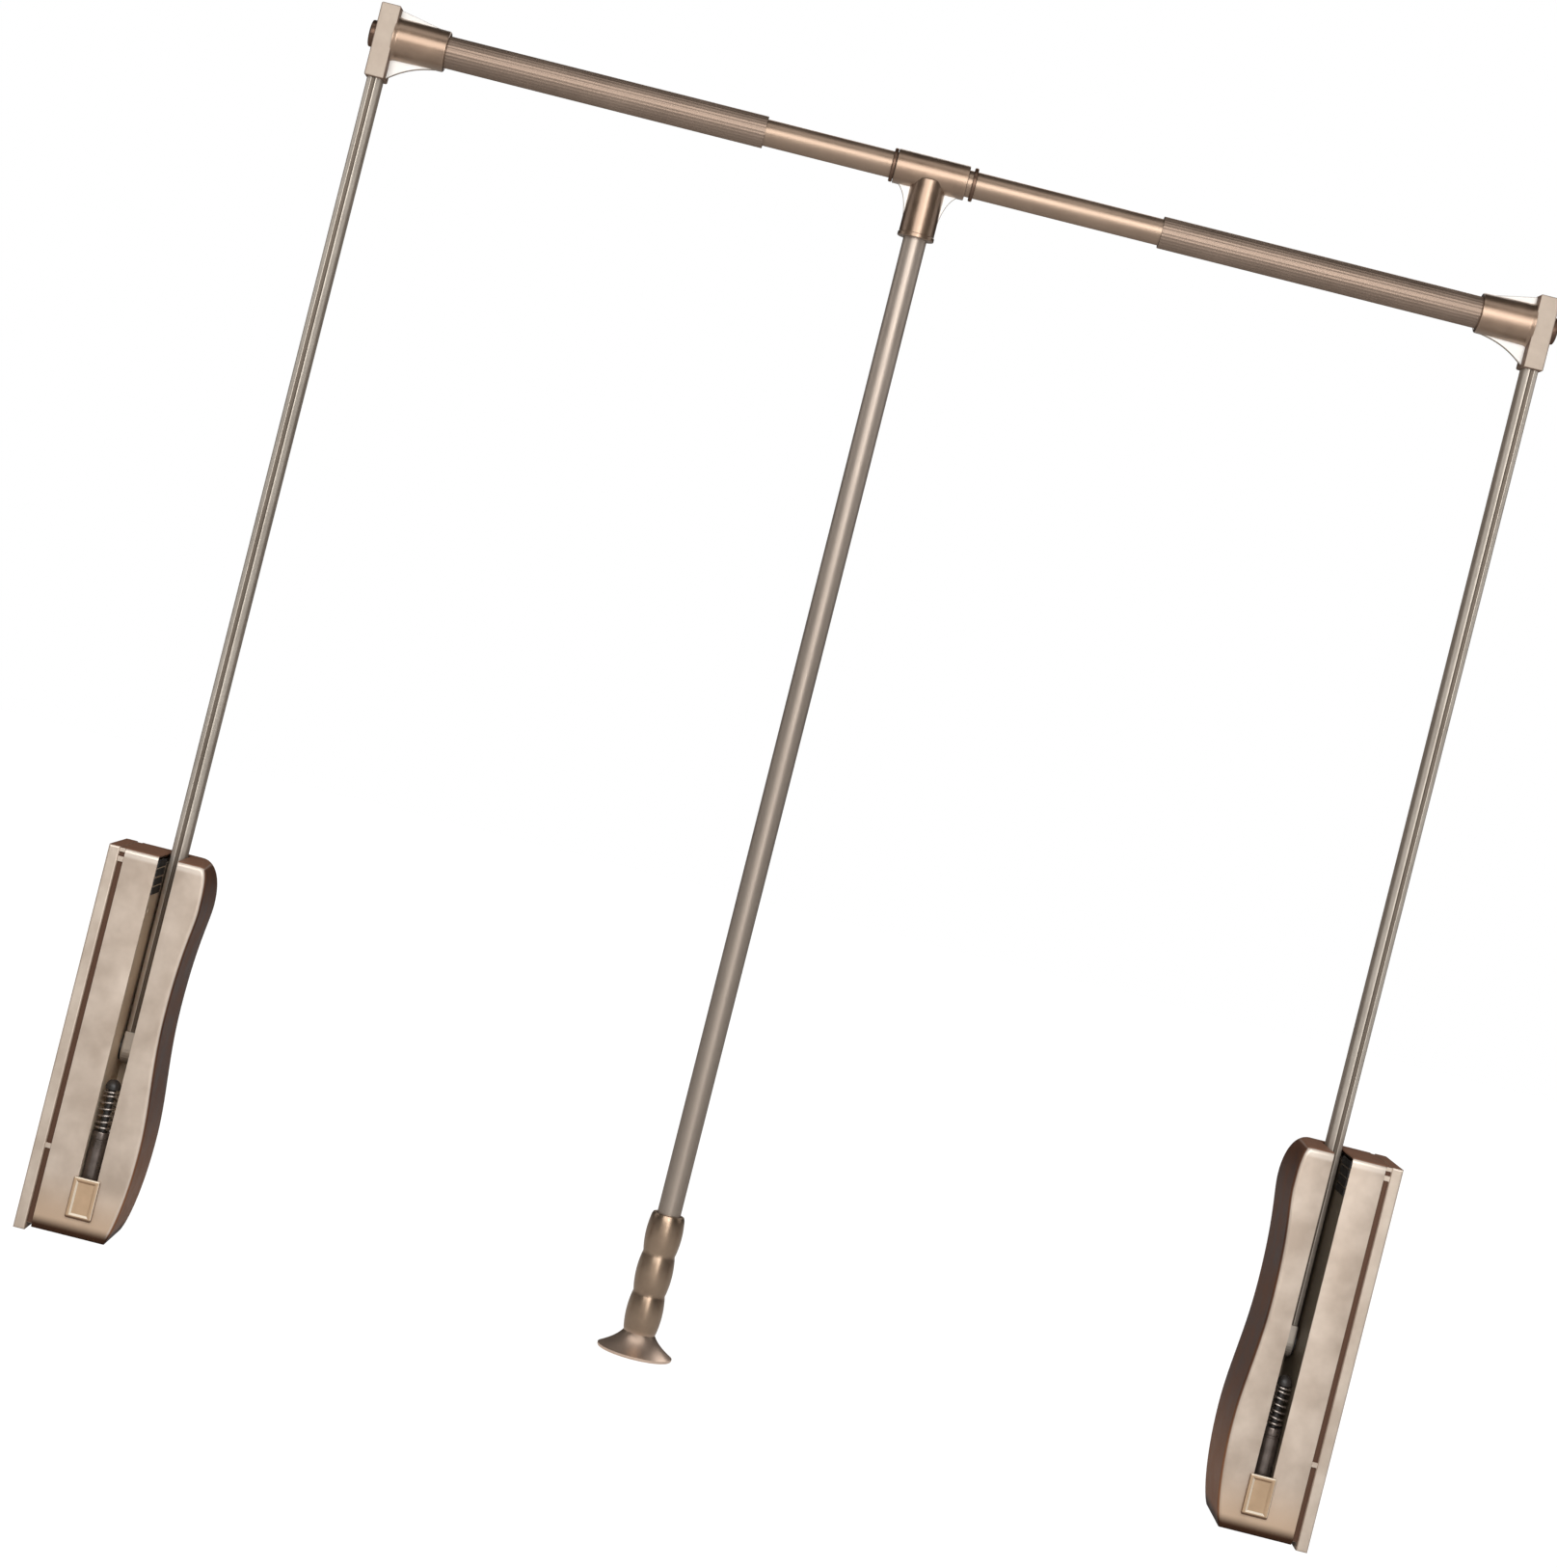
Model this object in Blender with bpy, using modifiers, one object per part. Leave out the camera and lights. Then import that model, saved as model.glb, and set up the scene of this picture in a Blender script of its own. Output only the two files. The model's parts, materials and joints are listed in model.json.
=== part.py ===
# A pull-down wardrobe rail: two wall housings carry a pair of swinging arms, a telescopic
# hanging bar joins the arms, and a pull rod with a grip hangs from the middle of the bar.
# The frame is in metres, +Z up and -Y to the front, with the origin under the middle.
# The left side is modelled piece by piece, and the right side is its mirror image.

import math

import bmesh
import bpy
import numpy as np
from mathutils import Matrix, Vector
from mathutils.geometry import interpolate_bezier

# Clearance between pieces that touch, and how far shapes that are joined reach into each other
GAP = 0.0003
LAP = 0.002

# The whole rail
SPAN = 1.044                  # from one wall face to the other
PIVOT_HEIGHT = 0.150          # arm pivot above the foot of the wall plates
ARM_REACH = 0.831             # arm pivot to the middle of the hanging bar
ARM_FROM_WALL = 0.0480        # wall face to the middle of an arm
ARM_BEHIND_FACE = 0.0545      # front of the housings to the middle of an arm
LIFT_STOP = math.radians(100)  # how far the arms swing down from upright

# Wall plate, with its spigot that the cover slips over
PLATE_THICK = 0.0092
PLATE_DROP = 0.0030           # how far the plate reaches below the cover
PLATE_EDGE = 0.0015
SPIGOT_REACH = 0.012
SPIGOT_WALL = 0.002
TAB_HEIGHT = 0.004            # small tabs that bridge the groove beside the plate
UPPER_TAB_DROP = 0.0095
LOWER_TAB_RISE = 0.0655
BOSS_RADIUS = 0.0055
BOSS_HOLE = 0.0016
BOSS_FORWARD = 0.042           # bosses in front of the arm's middle and behind it
BOSS_BEHIND = 0.012
UPPER_BOSS_DROP = 0.045
LOWER_BOSS_RISE = 0.055
WALL_SCREW_HOLE = 0.0026
WALL_SCREW_HEAD = 0.005
WALL_SCREW_SINK = 0.004
WALL_SCREW_SPREAD = 0.060
WALL_SCREW_INSET = 0.028

# Housing cover, a moulded shell with a wavy inner side and a slot for the arm
GROOVE = 0.0045               # open groove between plate and cover
HOUSING_DEPTH = 0.082
COVER_HEIGHT = 0.306
COVER_WALL = 0.0025
COVER_EDGE = 0.0035
UPPER_BULGE_REACH = 0.0815    # wall face to the two swells of the wavy side
LOWER_BULGE_REACH = 0.0825
WAIST_REACH = 0.0758
FOOT_REACH = 0.0720
TOP_REACH = 0.0635
UPPER_BULGE_DROP = 0.034
LOWER_BULGE_RISE = 0.080
WAIST_SHARE = 0.55            # where the waist lies between the swells
FOOT_LEAN = (0.005, 0.0095)   # direction in which the side leaves the bottom edge
LOWER_BULGE_EASE = 0.33       # how far each curve of the wavy side runs on straight at its ends
WAIST_EASE_BELOW = 0.42
WAIST_EASE_ABOVE = 0.62
UPPER_BULGE_EASE = 0.17
CORNER_EASE_UP = 0.58
CORNER_EASE_ACROSS = 0.65
SLOT_WIDTH = 0.0155

# Cap over the foot of the slot
CAP_WIDTH = 0.021
CAP_HEIGHT = 0.0355
CAP_FOOT = 0.0155
CAP_PROUD = 0.003
CAP_EDGE = 0.0012
CAP_LAP = 0.006               # how far the cap covers the foot of the slot
CAP_PLUG = 0.003

# Chassis, a bent channel behind the slot that carries pivot, stop and buffer
CHEEK = 0.0025
CHASSIS_RISE = 0.0075         # foot of the chassis above the foot of the cover
CHASSIS_DROP = 0.0085         # top of the chassis below the top of the cover
CHASSIS_SCREW_HOLE = 0.0022
SHELF_HEIGHT = 0.026
SHELF_THICK = 0.003
SHELF_DEPTH = 0.026

# Rubber stop that the raised arm leans on
STOP_FOOT_DROP = 0.0335
STOP_TOP_DROP = 0.0015
STOP_RIBS = 4
STOP_RIB_DEPTH = 0.0025
STOP_BODY = 0.0045             # thickness of the stop behind its ribs

# Pivot: shaft, bushes, spring drum and torsion spring
SHAFT_RADIUS = 0.006
SHAFT_HEAD_RADIUS = 0.010
SHAFT_HEAD = 0.003
SHAFT_CLEAR_OF_PLATE = 0.0025
BUSH_WALL = 0.0017
BUSH_FLANGE_RADIUS = 0.0105
DRUM_RADIUS = 0.012
DRUM_FLANGE_RADIUS = 0.022
DRUM_FLANGE = 0.0035
TORSION_RADIUS = 0.0165       # to the middle of the wire
TORSION_WIRE = 0.0042
TORSION_PITCH = 0.0049
TORSION_TURNS = 3
TORSION_LEG = 0.018
TORSION_POST_RADIUS = 0.004
TORSION_POST_SHARE = 0.7      # where along the leg the post holds it
TORSION_POST_REACH = 0.009

# Arm: a flat oval tube with a hub at its foot
ARM_WIDTH = 0.012
ARM_DEPTH = 0.025
ARM_WALL = 0.0012
HUB_SHOULDER = 0.0142         # top of the hub above the pivot, where the tube stands
HUB_SPIGOT = 0.035

# Buffer that catches the lowered arm: a damper cylinder, a plunger and a coil spring
BUFFER_BEHIND_FACE = 0.012
BUFFER_STROKE = 0.012
BUFFER_RADIUS = 0.007
BUFFER_FLOOR = 0.006
BUFFER_HEAD_RADIUS = 0.006
BUFFER_HEAD_COLLAR = 0.002
BUFFER_ROD_RADIUS = 0.003
BUFFER_SPRING_LENGTH = 0.0335
BUFFER_SPRING_RADIUS = 0.0060  # to the middle of the wire
BUFFER_WIRE = 0.0018
BUFFER_TURNS = 7
BUFFER_END_TURN_GAP = 0.0006

# Corner connector between arm and hanging bar
BLOCK_WIDTH = 0.016
BLOCK_DEPTH = 0.031
BLOCK_ABOVE = 0.0245
BLOCK_BELOW = 0.035
BLOCK_EDGE = 0.0012
ARM_STOP_BELOW = 0.009        # where the arm ends under the bar's middle
SOCKET_LENGTH = 0.0425
SOCKET_RADIUS = 0.0172
SOCKET_MOUTH_RADIUS = 0.0164
WEB_THICK = 0.004
UPPER_WEB_SHARE = 0.85        # how far the upper web runs along the socket
LOWER_WEB_NEAR = 1.4          # depth of the lower web's curve in socket radii, near the block
LOWER_WEB_FAR = 1.06          # and half way along
CONNECTOR_CAP_RADIUS = 0.0108
CONNECTOR_CAP_THICK = 0.0045
CONNECTOR_CAP_EDGE = 0.0012
CONNECTOR_PEG_RADIUS = 0.006
CONNECTOR_PEG = 0.0045

# Telescopic hanging bar
OUTER_TUBE_LENGTH = 0.302
OUTER_TUBE_RADIUS = 0.013
OUTER_TUBE_BORE = 0.012
FLUTES = 30
FLUTE_DEPTH = 0.00045
INNER_TUBE_RADIUS = 0.01075
INNER_TUBE_WALL = 0.001
INNER_TUBE_LENGTH = 0.580
GUIDE_LENGTH = 0.025

# Tee on the inner tube, its bush and the stop rings beside it
TEE_OFFSET = -0.026           # middle of the tee from the middle of the rail
TEE_LENGTH = 0.0585
TEE_RADIUS = 0.014
TEE_BUSH_WALL = 0.001
TEE_SOCKET_RADIUS = 0.01425
TEE_SOCKET_DROP = 0.053
TEE_LIP = 0.003
TEE_LIP_PROUD = 0.0006
TEE_WEB_REACH = 0.0255
TEE_WEB_DROP = 0.041
TEE_WEB_ROOT = 0.9            # where the web leaves the sleeve, in sleeve radii
TEE_WEB_CURVE = (0.7, 1.25)   # its curve near the sleeve, in reaches and sleeve radii
TEE_WEB_FOOT = (1.05, 0.7)    # and near the socket, in socket radii and drops
TEE_PLAY = 0.0035             # free travel of the tee between its stop rings
RING_RADIUS = 0.0136
RING_THICK = 0.003

# Pull rod and its grip with a flared foot
ROD_RADIUS = 0.0095
ROD_WALL = 0.001
GRIP_TOP = 0.127
GRIP_FOOT = 0.013
GRIP_FLARE_TOP = 0.030
GRIP_BARRELS = 3
GRIP_WAIST_RADIUS = 0.0129
GRIP_BULGE = 0.0018
GRIP_FULLNESS = 0.8           # below 1 the swells are fuller than a plain wave
GRIP_FLARE_RADIUS = 0.0304
GRIP_RIM = 0.0022
GRIP_SHELL = 0.002
ROD_STOP = 0.012              # solid bottom of the grip's bore above the flare

# Smoothness
TUBE_STEPS = 28
SMALL_STEPS = 16
ARC_STEPS = 8
BARREL_STEPS = 6
ROUNDING_STEPS = 2
COIL_POINTS = 9
SAME_TURN_SHARE = 0.6         # points nearer than this share of a turn belong together

# Places that follow from the sizes above
COVER_LOW = PLATE_DROP
COVER_HIGH = PLATE_DROP + COVER_HEIGHT
BEHIND_ARM = max(HOUSING_DEPTH - ARM_BEHIND_FACE, GRIP_FLARE_RADIUS)
FRONT_Y = (CAP_PROUD - ARM_BEHIND_FACE - BEHIND_ARM) / 2
BACK_Y = FRONT_Y + HOUSING_DEPTH
ARM_Y = FRONT_Y + ARM_BEHIND_FACE
BUFFER_Y = FRONT_Y + BUFFER_BEHIND_FACE
MIDDLE_Y = (FRONT_Y + BACK_Y) / 2
BAR_Z = PIVOT_HEIGHT + ARM_REACH
COVER_START = PLATE_THICK + GROOVE
COVER_INNER_EDGE = max(COVER_EDGE - COVER_WALL, 0)
OUTER_CHEEK = ARM_FROM_WALL - SLOT_WIDTH / 2 - CHEEK
INNER_CHEEK = ARM_FROM_WALL + SLOT_WIDTH / 2
CHEEK_FRONT = FRONT_Y + COVER_WALL + GAP
WEB_FRONT = ARM_Y + ARM_DEPTH / 2 + GAP + STOP_RIB_DEPTH + STOP_BODY + GAP
SOCKET_MOUTH = ARM_FROM_WALL + BLOCK_WIDTH / 2 + SOCKET_LENGTH

# Matrices that stand a flat outline up: seen from the front, and seen from the side
SEEN_FROM_FRONT = Matrix.Rotation(math.pi / 2, 4, "X")
SEEN_FROM_SIDE = Matrix(((0, 0, 1, 0), (1, 0, 0, 0), (0, 1, 0, 0), (0, 0, 0, 1)))
ALONG_X = Matrix.Rotation(math.pi / 2, 4, "Y")


def from_wall(distance):
    return distance - SPAN / 2


ARM_X = from_wall(ARM_FROM_WALL)
PIVOT = Vector((ARM_X, ARM_Y, PIVOT_HEIGHT))
BAR_END = Vector((ARM_X, ARM_Y, BAR_Z))
TEE_MIDDLE = Vector((TEE_OFFSET, ARM_Y, BAR_Z))
ARM_LINE = Matrix.Translation((ARM_X, ARM_Y, 0))
BAR_PLANE = Matrix.Translation((0, ARM_Y, 0)) @ SEEN_FROM_FRONT


def clear_scene():
    for obj in list(bpy.data.objects):
        bpy.data.objects.remove(obj)


def new_collection(name):
    collection = bpy.data.collections.new(name)
    bpy.context.scene.collection.children.link(collection)
    return collection


def new_material(name, color, roughness, metallic):
    look = bpy.data.materials.new(name)
    look.use_nodes = True
    shader = look.node_tree.nodes["Principled BSDF"]
    shader.inputs["Base Color"].default_value = (*color, 1)
    shader.inputs["Roughness"].default_value = roughness
    shader.inputs["Metallic"].default_value = metallic
    return look


clear_scene()
PARTS = new_collection("pull_down_wardrobe_rail")
CUTTERS = new_collection("cutters")
CHAMPAGNE = new_material("champagne_paint", (0.52, 0.43, 0.35), 0.35, 0.6)
BRONZE = new_material("bronze_metal", (0.36, 0.27, 0.21), 0.3, 0.9)
STEEL = new_material("dark_steel", (0.12, 0.10, 0.09), 0.35, 0.9)
RUBBER = new_material("black_rubber", (0.015, 0.013, 0.012), 0.75, 0.0)
NYLON = new_material("black_nylon", (0.03, 0.028, 0.026), 0.5, 0.0)


def tidy_mesh(mesh):
    shape = bmesh.new()
    shape.from_mesh(mesh)
    bmesh.ops.remove_doubles(shape, verts=shape.verts, dist=1e-6)
    bmesh.ops.recalc_face_normals(shape, faces=shape.faces)
    shape.to_mesh(mesh)
    shape.free()
    return mesh


def shade(mesh):
    mesh.shade_smooth()
    mesh.set_sharp_from_angle(angle=math.radians(35))


def evaluated_mesh(obj):
    graph = bpy.context.evaluated_depsgraph_get()
    return bpy.data.meshes.new_from_object(obj.evaluated_get(graph))


def outline_mesh(loops, thickness, stand, rounding=0.0, inset=0.0):
    # A flat outline given thickness; a second loop is a hole, and inset draws the outline in
    curve = bpy.data.curves.new("outline", "CURVE")
    curve.dimensions = "2D"
    curve.fill_mode = "BOTH"
    curve.extrude = thickness / 2 - rounding
    curve.bevel_depth = rounding
    curve.bevel_resolution = ROUNDING_STEPS
    curve.offset = -rounding - inset
    for loop in loops:
        spline = curve.splines.new("POLY")
        spline.points.add(len(loop) - 1)
        for point, (across, up) in zip(spline.points, loop):
            point.co = (across, up, 0, 1)
        spline.use_cyclic_u = True
    guide = bpy.data.objects.new("outline", curve)
    CUTTERS.objects.link(guide)
    mesh = tidy_mesh(evaluated_mesh(guide))
    bpy.data.objects.remove(guide)
    mesh.transform(stand)
    return mesh


def box_mesh(low, high):
    low, high = Vector(low), Vector(high)
    shape = bmesh.new()
    bmesh.ops.create_cube(shape, size=1)
    bmesh.ops.scale(shape, verts=shape.verts, vec=high - low)
    bmesh.ops.translate(shape, verts=shape.verts, vec=(high + low) / 2)
    mesh = bpy.data.meshes.new("box")
    shape.to_mesh(mesh)
    shape.free()
    return mesh


def posts_mesh(places, radius, low, high):
    # Round posts along X, from one distance off the wall to another, at places in Y and Z
    shape = bmesh.new()
    for y, z in places:
        middle = Vector((from_wall((low + high) / 2), y, z))
        bmesh.ops.create_cone(
            shape, cap_ends=True, segments=SMALL_STEPS, radius1=radius, radius2=radius,
            depth=high - low, matrix=Matrix.Translation(middle) @ ALONG_X)
    mesh = bpy.data.meshes.new("posts")
    shape.to_mesh(mesh)
    shape.free()
    return mesh


def turned(name, profile, stand, closed=False, steps=TUBE_STEPS):
    # A profile of radius and height, turned about the local Z axis by a Screw modifier
    mesh = bpy.data.meshes.new(name)
    count = len(profile)
    edges = [(i, (i + 1) % count) for i in range(count if closed else count - 1)]
    mesh.from_pydata([(radius, 0, height) for radius, height in profile], edges, [])
    obj = bpy.data.objects.new(name, mesh)
    obj.matrix_world = stand
    screw = obj.modifiers.new("turn", "SCREW")
    screw.steps = screw.render_steps = steps
    screw.use_merge_vertices = True
    screw.merge_threshold = 0.00001
    return obj


def turned_mesh(profile, stand, closed=False, steps=TUBE_STEPS):
    # The same as a finished mesh, for a shape that a Boolean joins or cuts
    obj = turned("turned", profile, stand, closed, steps)
    CUTTERS.objects.link(obj)
    mesh = tidy_mesh(evaluated_mesh(obj))
    mesh.transform(stand)
    bpy.data.objects.remove(obj)
    return mesh


def tube_profile(bore, radius, low, high):
    return [(radius, high), (radius, low), (bore, low), (bore, high)]


def rod_profile(radius, low, high):
    return [(0, high), (radius, high), (radius, low), (0, low)]


def keep(obj, look, origin=None):
    # Put a finished piece in the model, with its origin on its joint's axis
    PARTS.objects.link(obj)
    if origin is not None:
        obj.data.transform(Matrix.Translation(-origin))
        obj.location = origin
    obj.data.materials.append(look)
    if obj.type == "MESH":
        shade(obj.data)
    return obj


def piece(name, mesh, look, origin=None):
    mesh.name = name
    return keep(bpy.data.objects.new(name, mesh), look, origin)


def combine(obj, tool, operation):
    tool = bpy.data.objects.new(f"{obj.name}_{operation.lower()}", tool)
    CUTTERS.objects.link(tool)
    tool.hide_render = True
    tool.display_type = "WIRE"
    step = obj.modifiers.new(operation.lower(), "BOOLEAN")
    step.operation = operation
    step.solver = "EXACT"
    step.object = tool


def join(obj, *tools):
    for tool in tools:
        combine(obj, tool, "UNION")


def cut(obj, *tools):
    for tool in tools:
        combine(obj, tool, "DIFFERENCE")


def bevel_edges(obj, width):
    bevel = obj.modifiers.new("edges", "BEVEL")
    bevel.width = width
    bevel.segments = ROUNDING_STEPS
    bevel.limit_method = "ANGLE"


def bezier(*points):
    return [tuple(p) for p in interpolate_bezier(*(Vector(p) for p in points), ARC_STEPS + 1)]


def oval(width, depth):
    # A flat oval in plan, with its round ends to the front and the back
    radius = width / 2
    straight = (depth - width) / 2
    points = []
    for end in (1, -1):
        for i in range(ARC_STEPS + 1):
            turn = math.pi * i / ARC_STEPS
            points.append((end * radius * math.cos(turn),
                           end * (straight + radius * math.sin(turn))))
    return points


def upright_mesh(loops, low, high):
    # A plan drawn about the arm's middle, made solid between two heights
    return outline_mesh(loops, high - low, ARM_LINE @ Matrix.Translation((0, 0, (low + high) / 2)))


def ring_outline(radius, count):
    turns = [2 * math.pi * i / count for i in range(count)]
    return [(radius * math.cos(a), radius * math.sin(a)) for a in turns]


def wavy_side():
    # The cover's inner side from foot to top: two swells with a waist between them
    lower = Vector((LOWER_BULGE_REACH, COVER_LOW + LOWER_BULGE_RISE))
    upper = Vector((UPPER_BULGE_REACH, COVER_HIGH - UPPER_BULGE_DROP))
    waist = Vector((WAIST_REACH, lower.y + WAIST_SHARE * (upper.y - lower.y)))
    foot = Vector((FOOT_REACH, COVER_LOW))
    top = Vector((TOP_REACH, COVER_HIGH))
    up = Vector((0, 1))
    below, above = waist.y - lower.y, upper.y - waist.y
    points = bezier(foot, foot + Vector(FOOT_LEAN), lower - up * LOWER_BULGE_RISE / 2, lower)
    points += bezier(lower, lower + up * below * LOWER_BULGE_EASE,
                     waist - up * below * WAIST_EASE_BELOW, waist)[1:]
    points += bezier(waist, waist + up * above * WAIST_EASE_ABOVE,
                     upper - up * above * UPPER_BULGE_EASE, upper)[1:]
    across = Vector(((UPPER_BULGE_REACH - TOP_REACH) * CORNER_EASE_ACROSS, 0))
    points += bezier(upper, upper + up * UPPER_BULGE_DROP * CORNER_EASE_UP, top + across, top)[1:]
    return points


def cover_outline(start):
    side = [(start, COVER_LOW)] + wavy_side() + [(start, COVER_HIGH)]
    return [(from_wall(reach), height) for reach, height in side]


def wall_plate():
    corners = [(0, 0), (PLATE_THICK, 0), (PLATE_THICK, COVER_HIGH), (0, COVER_HIGH)]
    outline = [(from_wall(reach), height) for reach, height in corners]
    stand = Matrix.Translation((0, MIDDLE_Y, 0)) @ SEEN_FROM_FRONT
    slab = outline_mesh([outline], HOUSING_DEPTH, stand, PLATE_EDGE)
    plate = piece("left_wall_plate", slab, CHAMPAGNE)
    # The spigot fits inside the cover all round
    inset = COVER_WALL + GAP
    low = Vector((from_wall(PLATE_THICK - LAP), FRONT_Y + inset, COVER_LOW + inset))
    high = Vector((from_wall(COVER_START + SPIGOT_REACH), BACK_Y - inset, COVER_HIGH - inset))
    wall = Vector((0, SPIGOT_WALL, SPIGOT_WALL))
    hollow_low = Vector((from_wall(PLATE_THICK), *(low + wall)[1:]))
    hollow_high = high - wall + Vector((LAP, 0, 0))
    rim = [(low.x, low.z), (high.x, low.z), (high.x, high.z), (low.x, high.z)]
    join(plate, outline_mesh([rim], high.y - low.y, stand, COVER_INNER_EDGE))
    cut(plate, box_mesh(hollow_low, hollow_high))
    for height in (COVER_HIGH - UPPER_TAB_DROP, COVER_LOW + LOWER_TAB_RISE):
        tab_low = (low.x, FRONT_Y + PLATE_EDGE / 2, height - TAB_HEIGHT / 2)
        tab_high = (from_wall(COVER_START - GAP), low.y + SPIGOT_WALL / 2, height + TAB_HEIGHT / 2)
        join(plate, box_mesh(tab_low, tab_high))
    # A lip closes the groove at the top
    lip_low = (low.x, FRONT_Y + PLATE_EDGE / 2, high.z - SPIGOT_WALL / 2)
    lip_high = (from_wall(COVER_START - GAP), BACK_Y - PLATE_EDGE / 2, COVER_HIGH - PLATE_EDGE / 2)
    join(plate, box_mesh(lip_low, lip_high))
    root = PLATE_THICK - LAP
    join(plate, posts_mesh(boss_places(), BOSS_RADIUS, root, OUTER_CHEEK - GAP))
    cut(plate, posts_mesh(boss_places(), BOSS_HOLE, PLATE_THICK + LAP, OUTER_CHEEK + LAP))
    join(plate, posts_mesh([torsion_post()], TORSION_POST_RADIUS, root,
                           PLATE_THICK + TORSION_POST_REACH))
    half = WALL_SCREW_SPREAD / 2
    screws = [(MIDDLE_Y + side * half, height) for side in (-1, 1) for height in
              (COVER_LOW + WALL_SCREW_INSET, COVER_HIGH - WALL_SCREW_INSET)]
    cut(plate, posts_mesh(screws, WALL_SCREW_HOLE, -LAP, PLATE_THICK + LAP))
    cut(plate, posts_mesh(screws, WALL_SCREW_HEAD, PLATE_THICK - WALL_SCREW_SINK,
                          PLATE_THICK + LAP))
    return plate


def boss_places():
    heights = (COVER_LOW + LOWER_BOSS_RISE, COVER_HIGH - UPPER_BOSS_DROP)
    return [(y, height) for y in (ARM_Y - BOSS_FORWARD, ARM_Y + BOSS_BEHIND) for height in heights]


def torsion_post():
    # The post stands in front of the spring's leg and takes its push
    reach = TORSION_RADIUS + TORSION_WIRE / 2 + TORSION_POST_RADIUS + GAP
    return ARM_Y - reach, PIVOT_HEIGHT + TORSION_LEG * TORSION_POST_SHARE


def housing_cover():
    stand = Matrix.Translation((0, MIDDLE_Y, 0)) @ SEEN_FROM_FRONT
    shell = outline_mesh([cover_outline(COVER_START)], HOUSING_DEPTH, stand, COVER_EDGE)
    cover = piece("left_housing_cover", shell, CHAMPAGNE)
    open_side = COVER_START - COVER_WALL - LAP
    cut(cover, outline_mesh([cover_outline(open_side)], HOUSING_DEPTH - 2 * COVER_WALL, stand,
                            COVER_INNER_EDGE, COVER_WALL))
    half = SLOT_WIDTH / 2
    cut(cover, box_mesh((ARM_X - half, FRONT_Y - LAP, CAP_FOOT + CAP_LAP),
                        (ARM_X + half, WEB_FRONT, COVER_HIGH + LAP)))
    return cover


def slot_cap():
    half = CAP_WIDTH / 2
    top = CAP_FOOT + CAP_HEIGHT
    face = FRONT_Y - GAP
    cap = piece("left_slot_cap", box_mesh((ARM_X - half, face - CAP_PROUD + GAP, CAP_FOOT),
                                          (ARM_X + half, face, top)), CHAMPAGNE)
    bevel_edges(cap, CAP_EDGE)
    plug = SLOT_WIDTH / 2 - GAP
    join(cap, box_mesh((ARM_X - plug, face - CAP_PROUD / 2, CAP_FOOT + CAP_LAP + GAP),
                       (ARM_X + plug, FRONT_Y + CAP_PLUG, top - CAP_LAP)))
    return cap


def chassis():
    # A channel in plan: two cheeks beside the slot and a web behind the arm
    outer, inner = from_wall(OUTER_CHEEK), from_wall(INNER_CHEEK + CHEEK)
    web_back = WEB_FRONT + CHEEK
    plan = [(outer, CHEEK_FRONT), (outer + CHEEK, CHEEK_FRONT), (outer + CHEEK, WEB_FRONT),
            (inner - CHEEK, WEB_FRONT), (inner - CHEEK, CHEEK_FRONT), (inner, CHEEK_FRONT),
            (inner, web_back), (outer, web_back)]
    low, high = COVER_LOW + CHASSIS_RISE, COVER_HIGH - CHASSIS_DROP
    channel = outline_mesh([plan], high - low, Matrix.Translation((0, 0, (low + high) / 2)))
    frame = piece("left_chassis", channel, CHAMPAGNE)
    shelf = FRONT_Y + CAP_PLUG + GAP
    join(frame, box_mesh((outer + CHEEK / 2, shelf, SHELF_HEIGHT),
                         (inner - CHEEK / 2, shelf + SHELF_DEPTH, SHELF_HEIGHT + SHELF_THICK)))
    hole = SHAFT_RADIUS + GAP + BUSH_WALL + GAP
    through = (OUTER_CHEEK - LAP, INNER_CHEEK + CHEEK + LAP)
    cut(frame, posts_mesh([(ARM_Y, PIVOT_HEIGHT)], hole, *through))
    cut(frame, posts_mesh(boss_places(), CHASSIS_SCREW_HOLE, OUTER_CHEEK - LAP,
                          OUTER_CHEEK + CHEEK + LAP))
    return frame


def stop_bumper():
    # A rubber block whose front is ribbed like a saw
    low, high = COVER_HIGH - STOP_FOOT_DROP, COVER_HIGH - STOP_TOP_DROP
    back, crest = WEB_FRONT - GAP, ARM_Y + ARM_DEPTH / 2 + GAP
    valley = crest + STOP_RIB_DEPTH
    step = (high - low) / STOP_RIBS
    outline = [(back, high), (back, low)]
    for rib in range(STOP_RIBS):
        foot = low + rib * step
        outline += [(valley, foot), (crest, foot + step / 4), (crest, foot + step * 3 / 4)]
    outline.append((valley, high))
    stand = Matrix.Translation((ARM_X, 0, 0)) @ SEEN_FROM_SIDE
    block = outline_mesh([outline], SLOT_WIDTH - 2 * GAP, stand)
    return piece("left_stop_bumper", block, RUBBER)


def on_pivot():
    return Matrix.Translation(PIVOT) @ ALONG_X


def pivot_shaft():
    # Lengths along the shaft are counted from the middle of the arm
    low = PLATE_THICK + SHAFT_CLEAR_OF_PLATE - ARM_FROM_WALL
    seat = SLOT_WIDTH / 2 + CHEEK + GAP
    high = seat + SHAFT_HEAD
    profile = [(0, high), (SHAFT_HEAD_RADIUS, high), (SHAFT_HEAD_RADIUS, seat),
               (SHAFT_RADIUS, seat), (SHAFT_RADIUS, low), (0, low)]
    return keep(turned("left_pivot_shaft", profile, on_pivot(), steps=SMALL_STEPS), STEEL)


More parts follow.
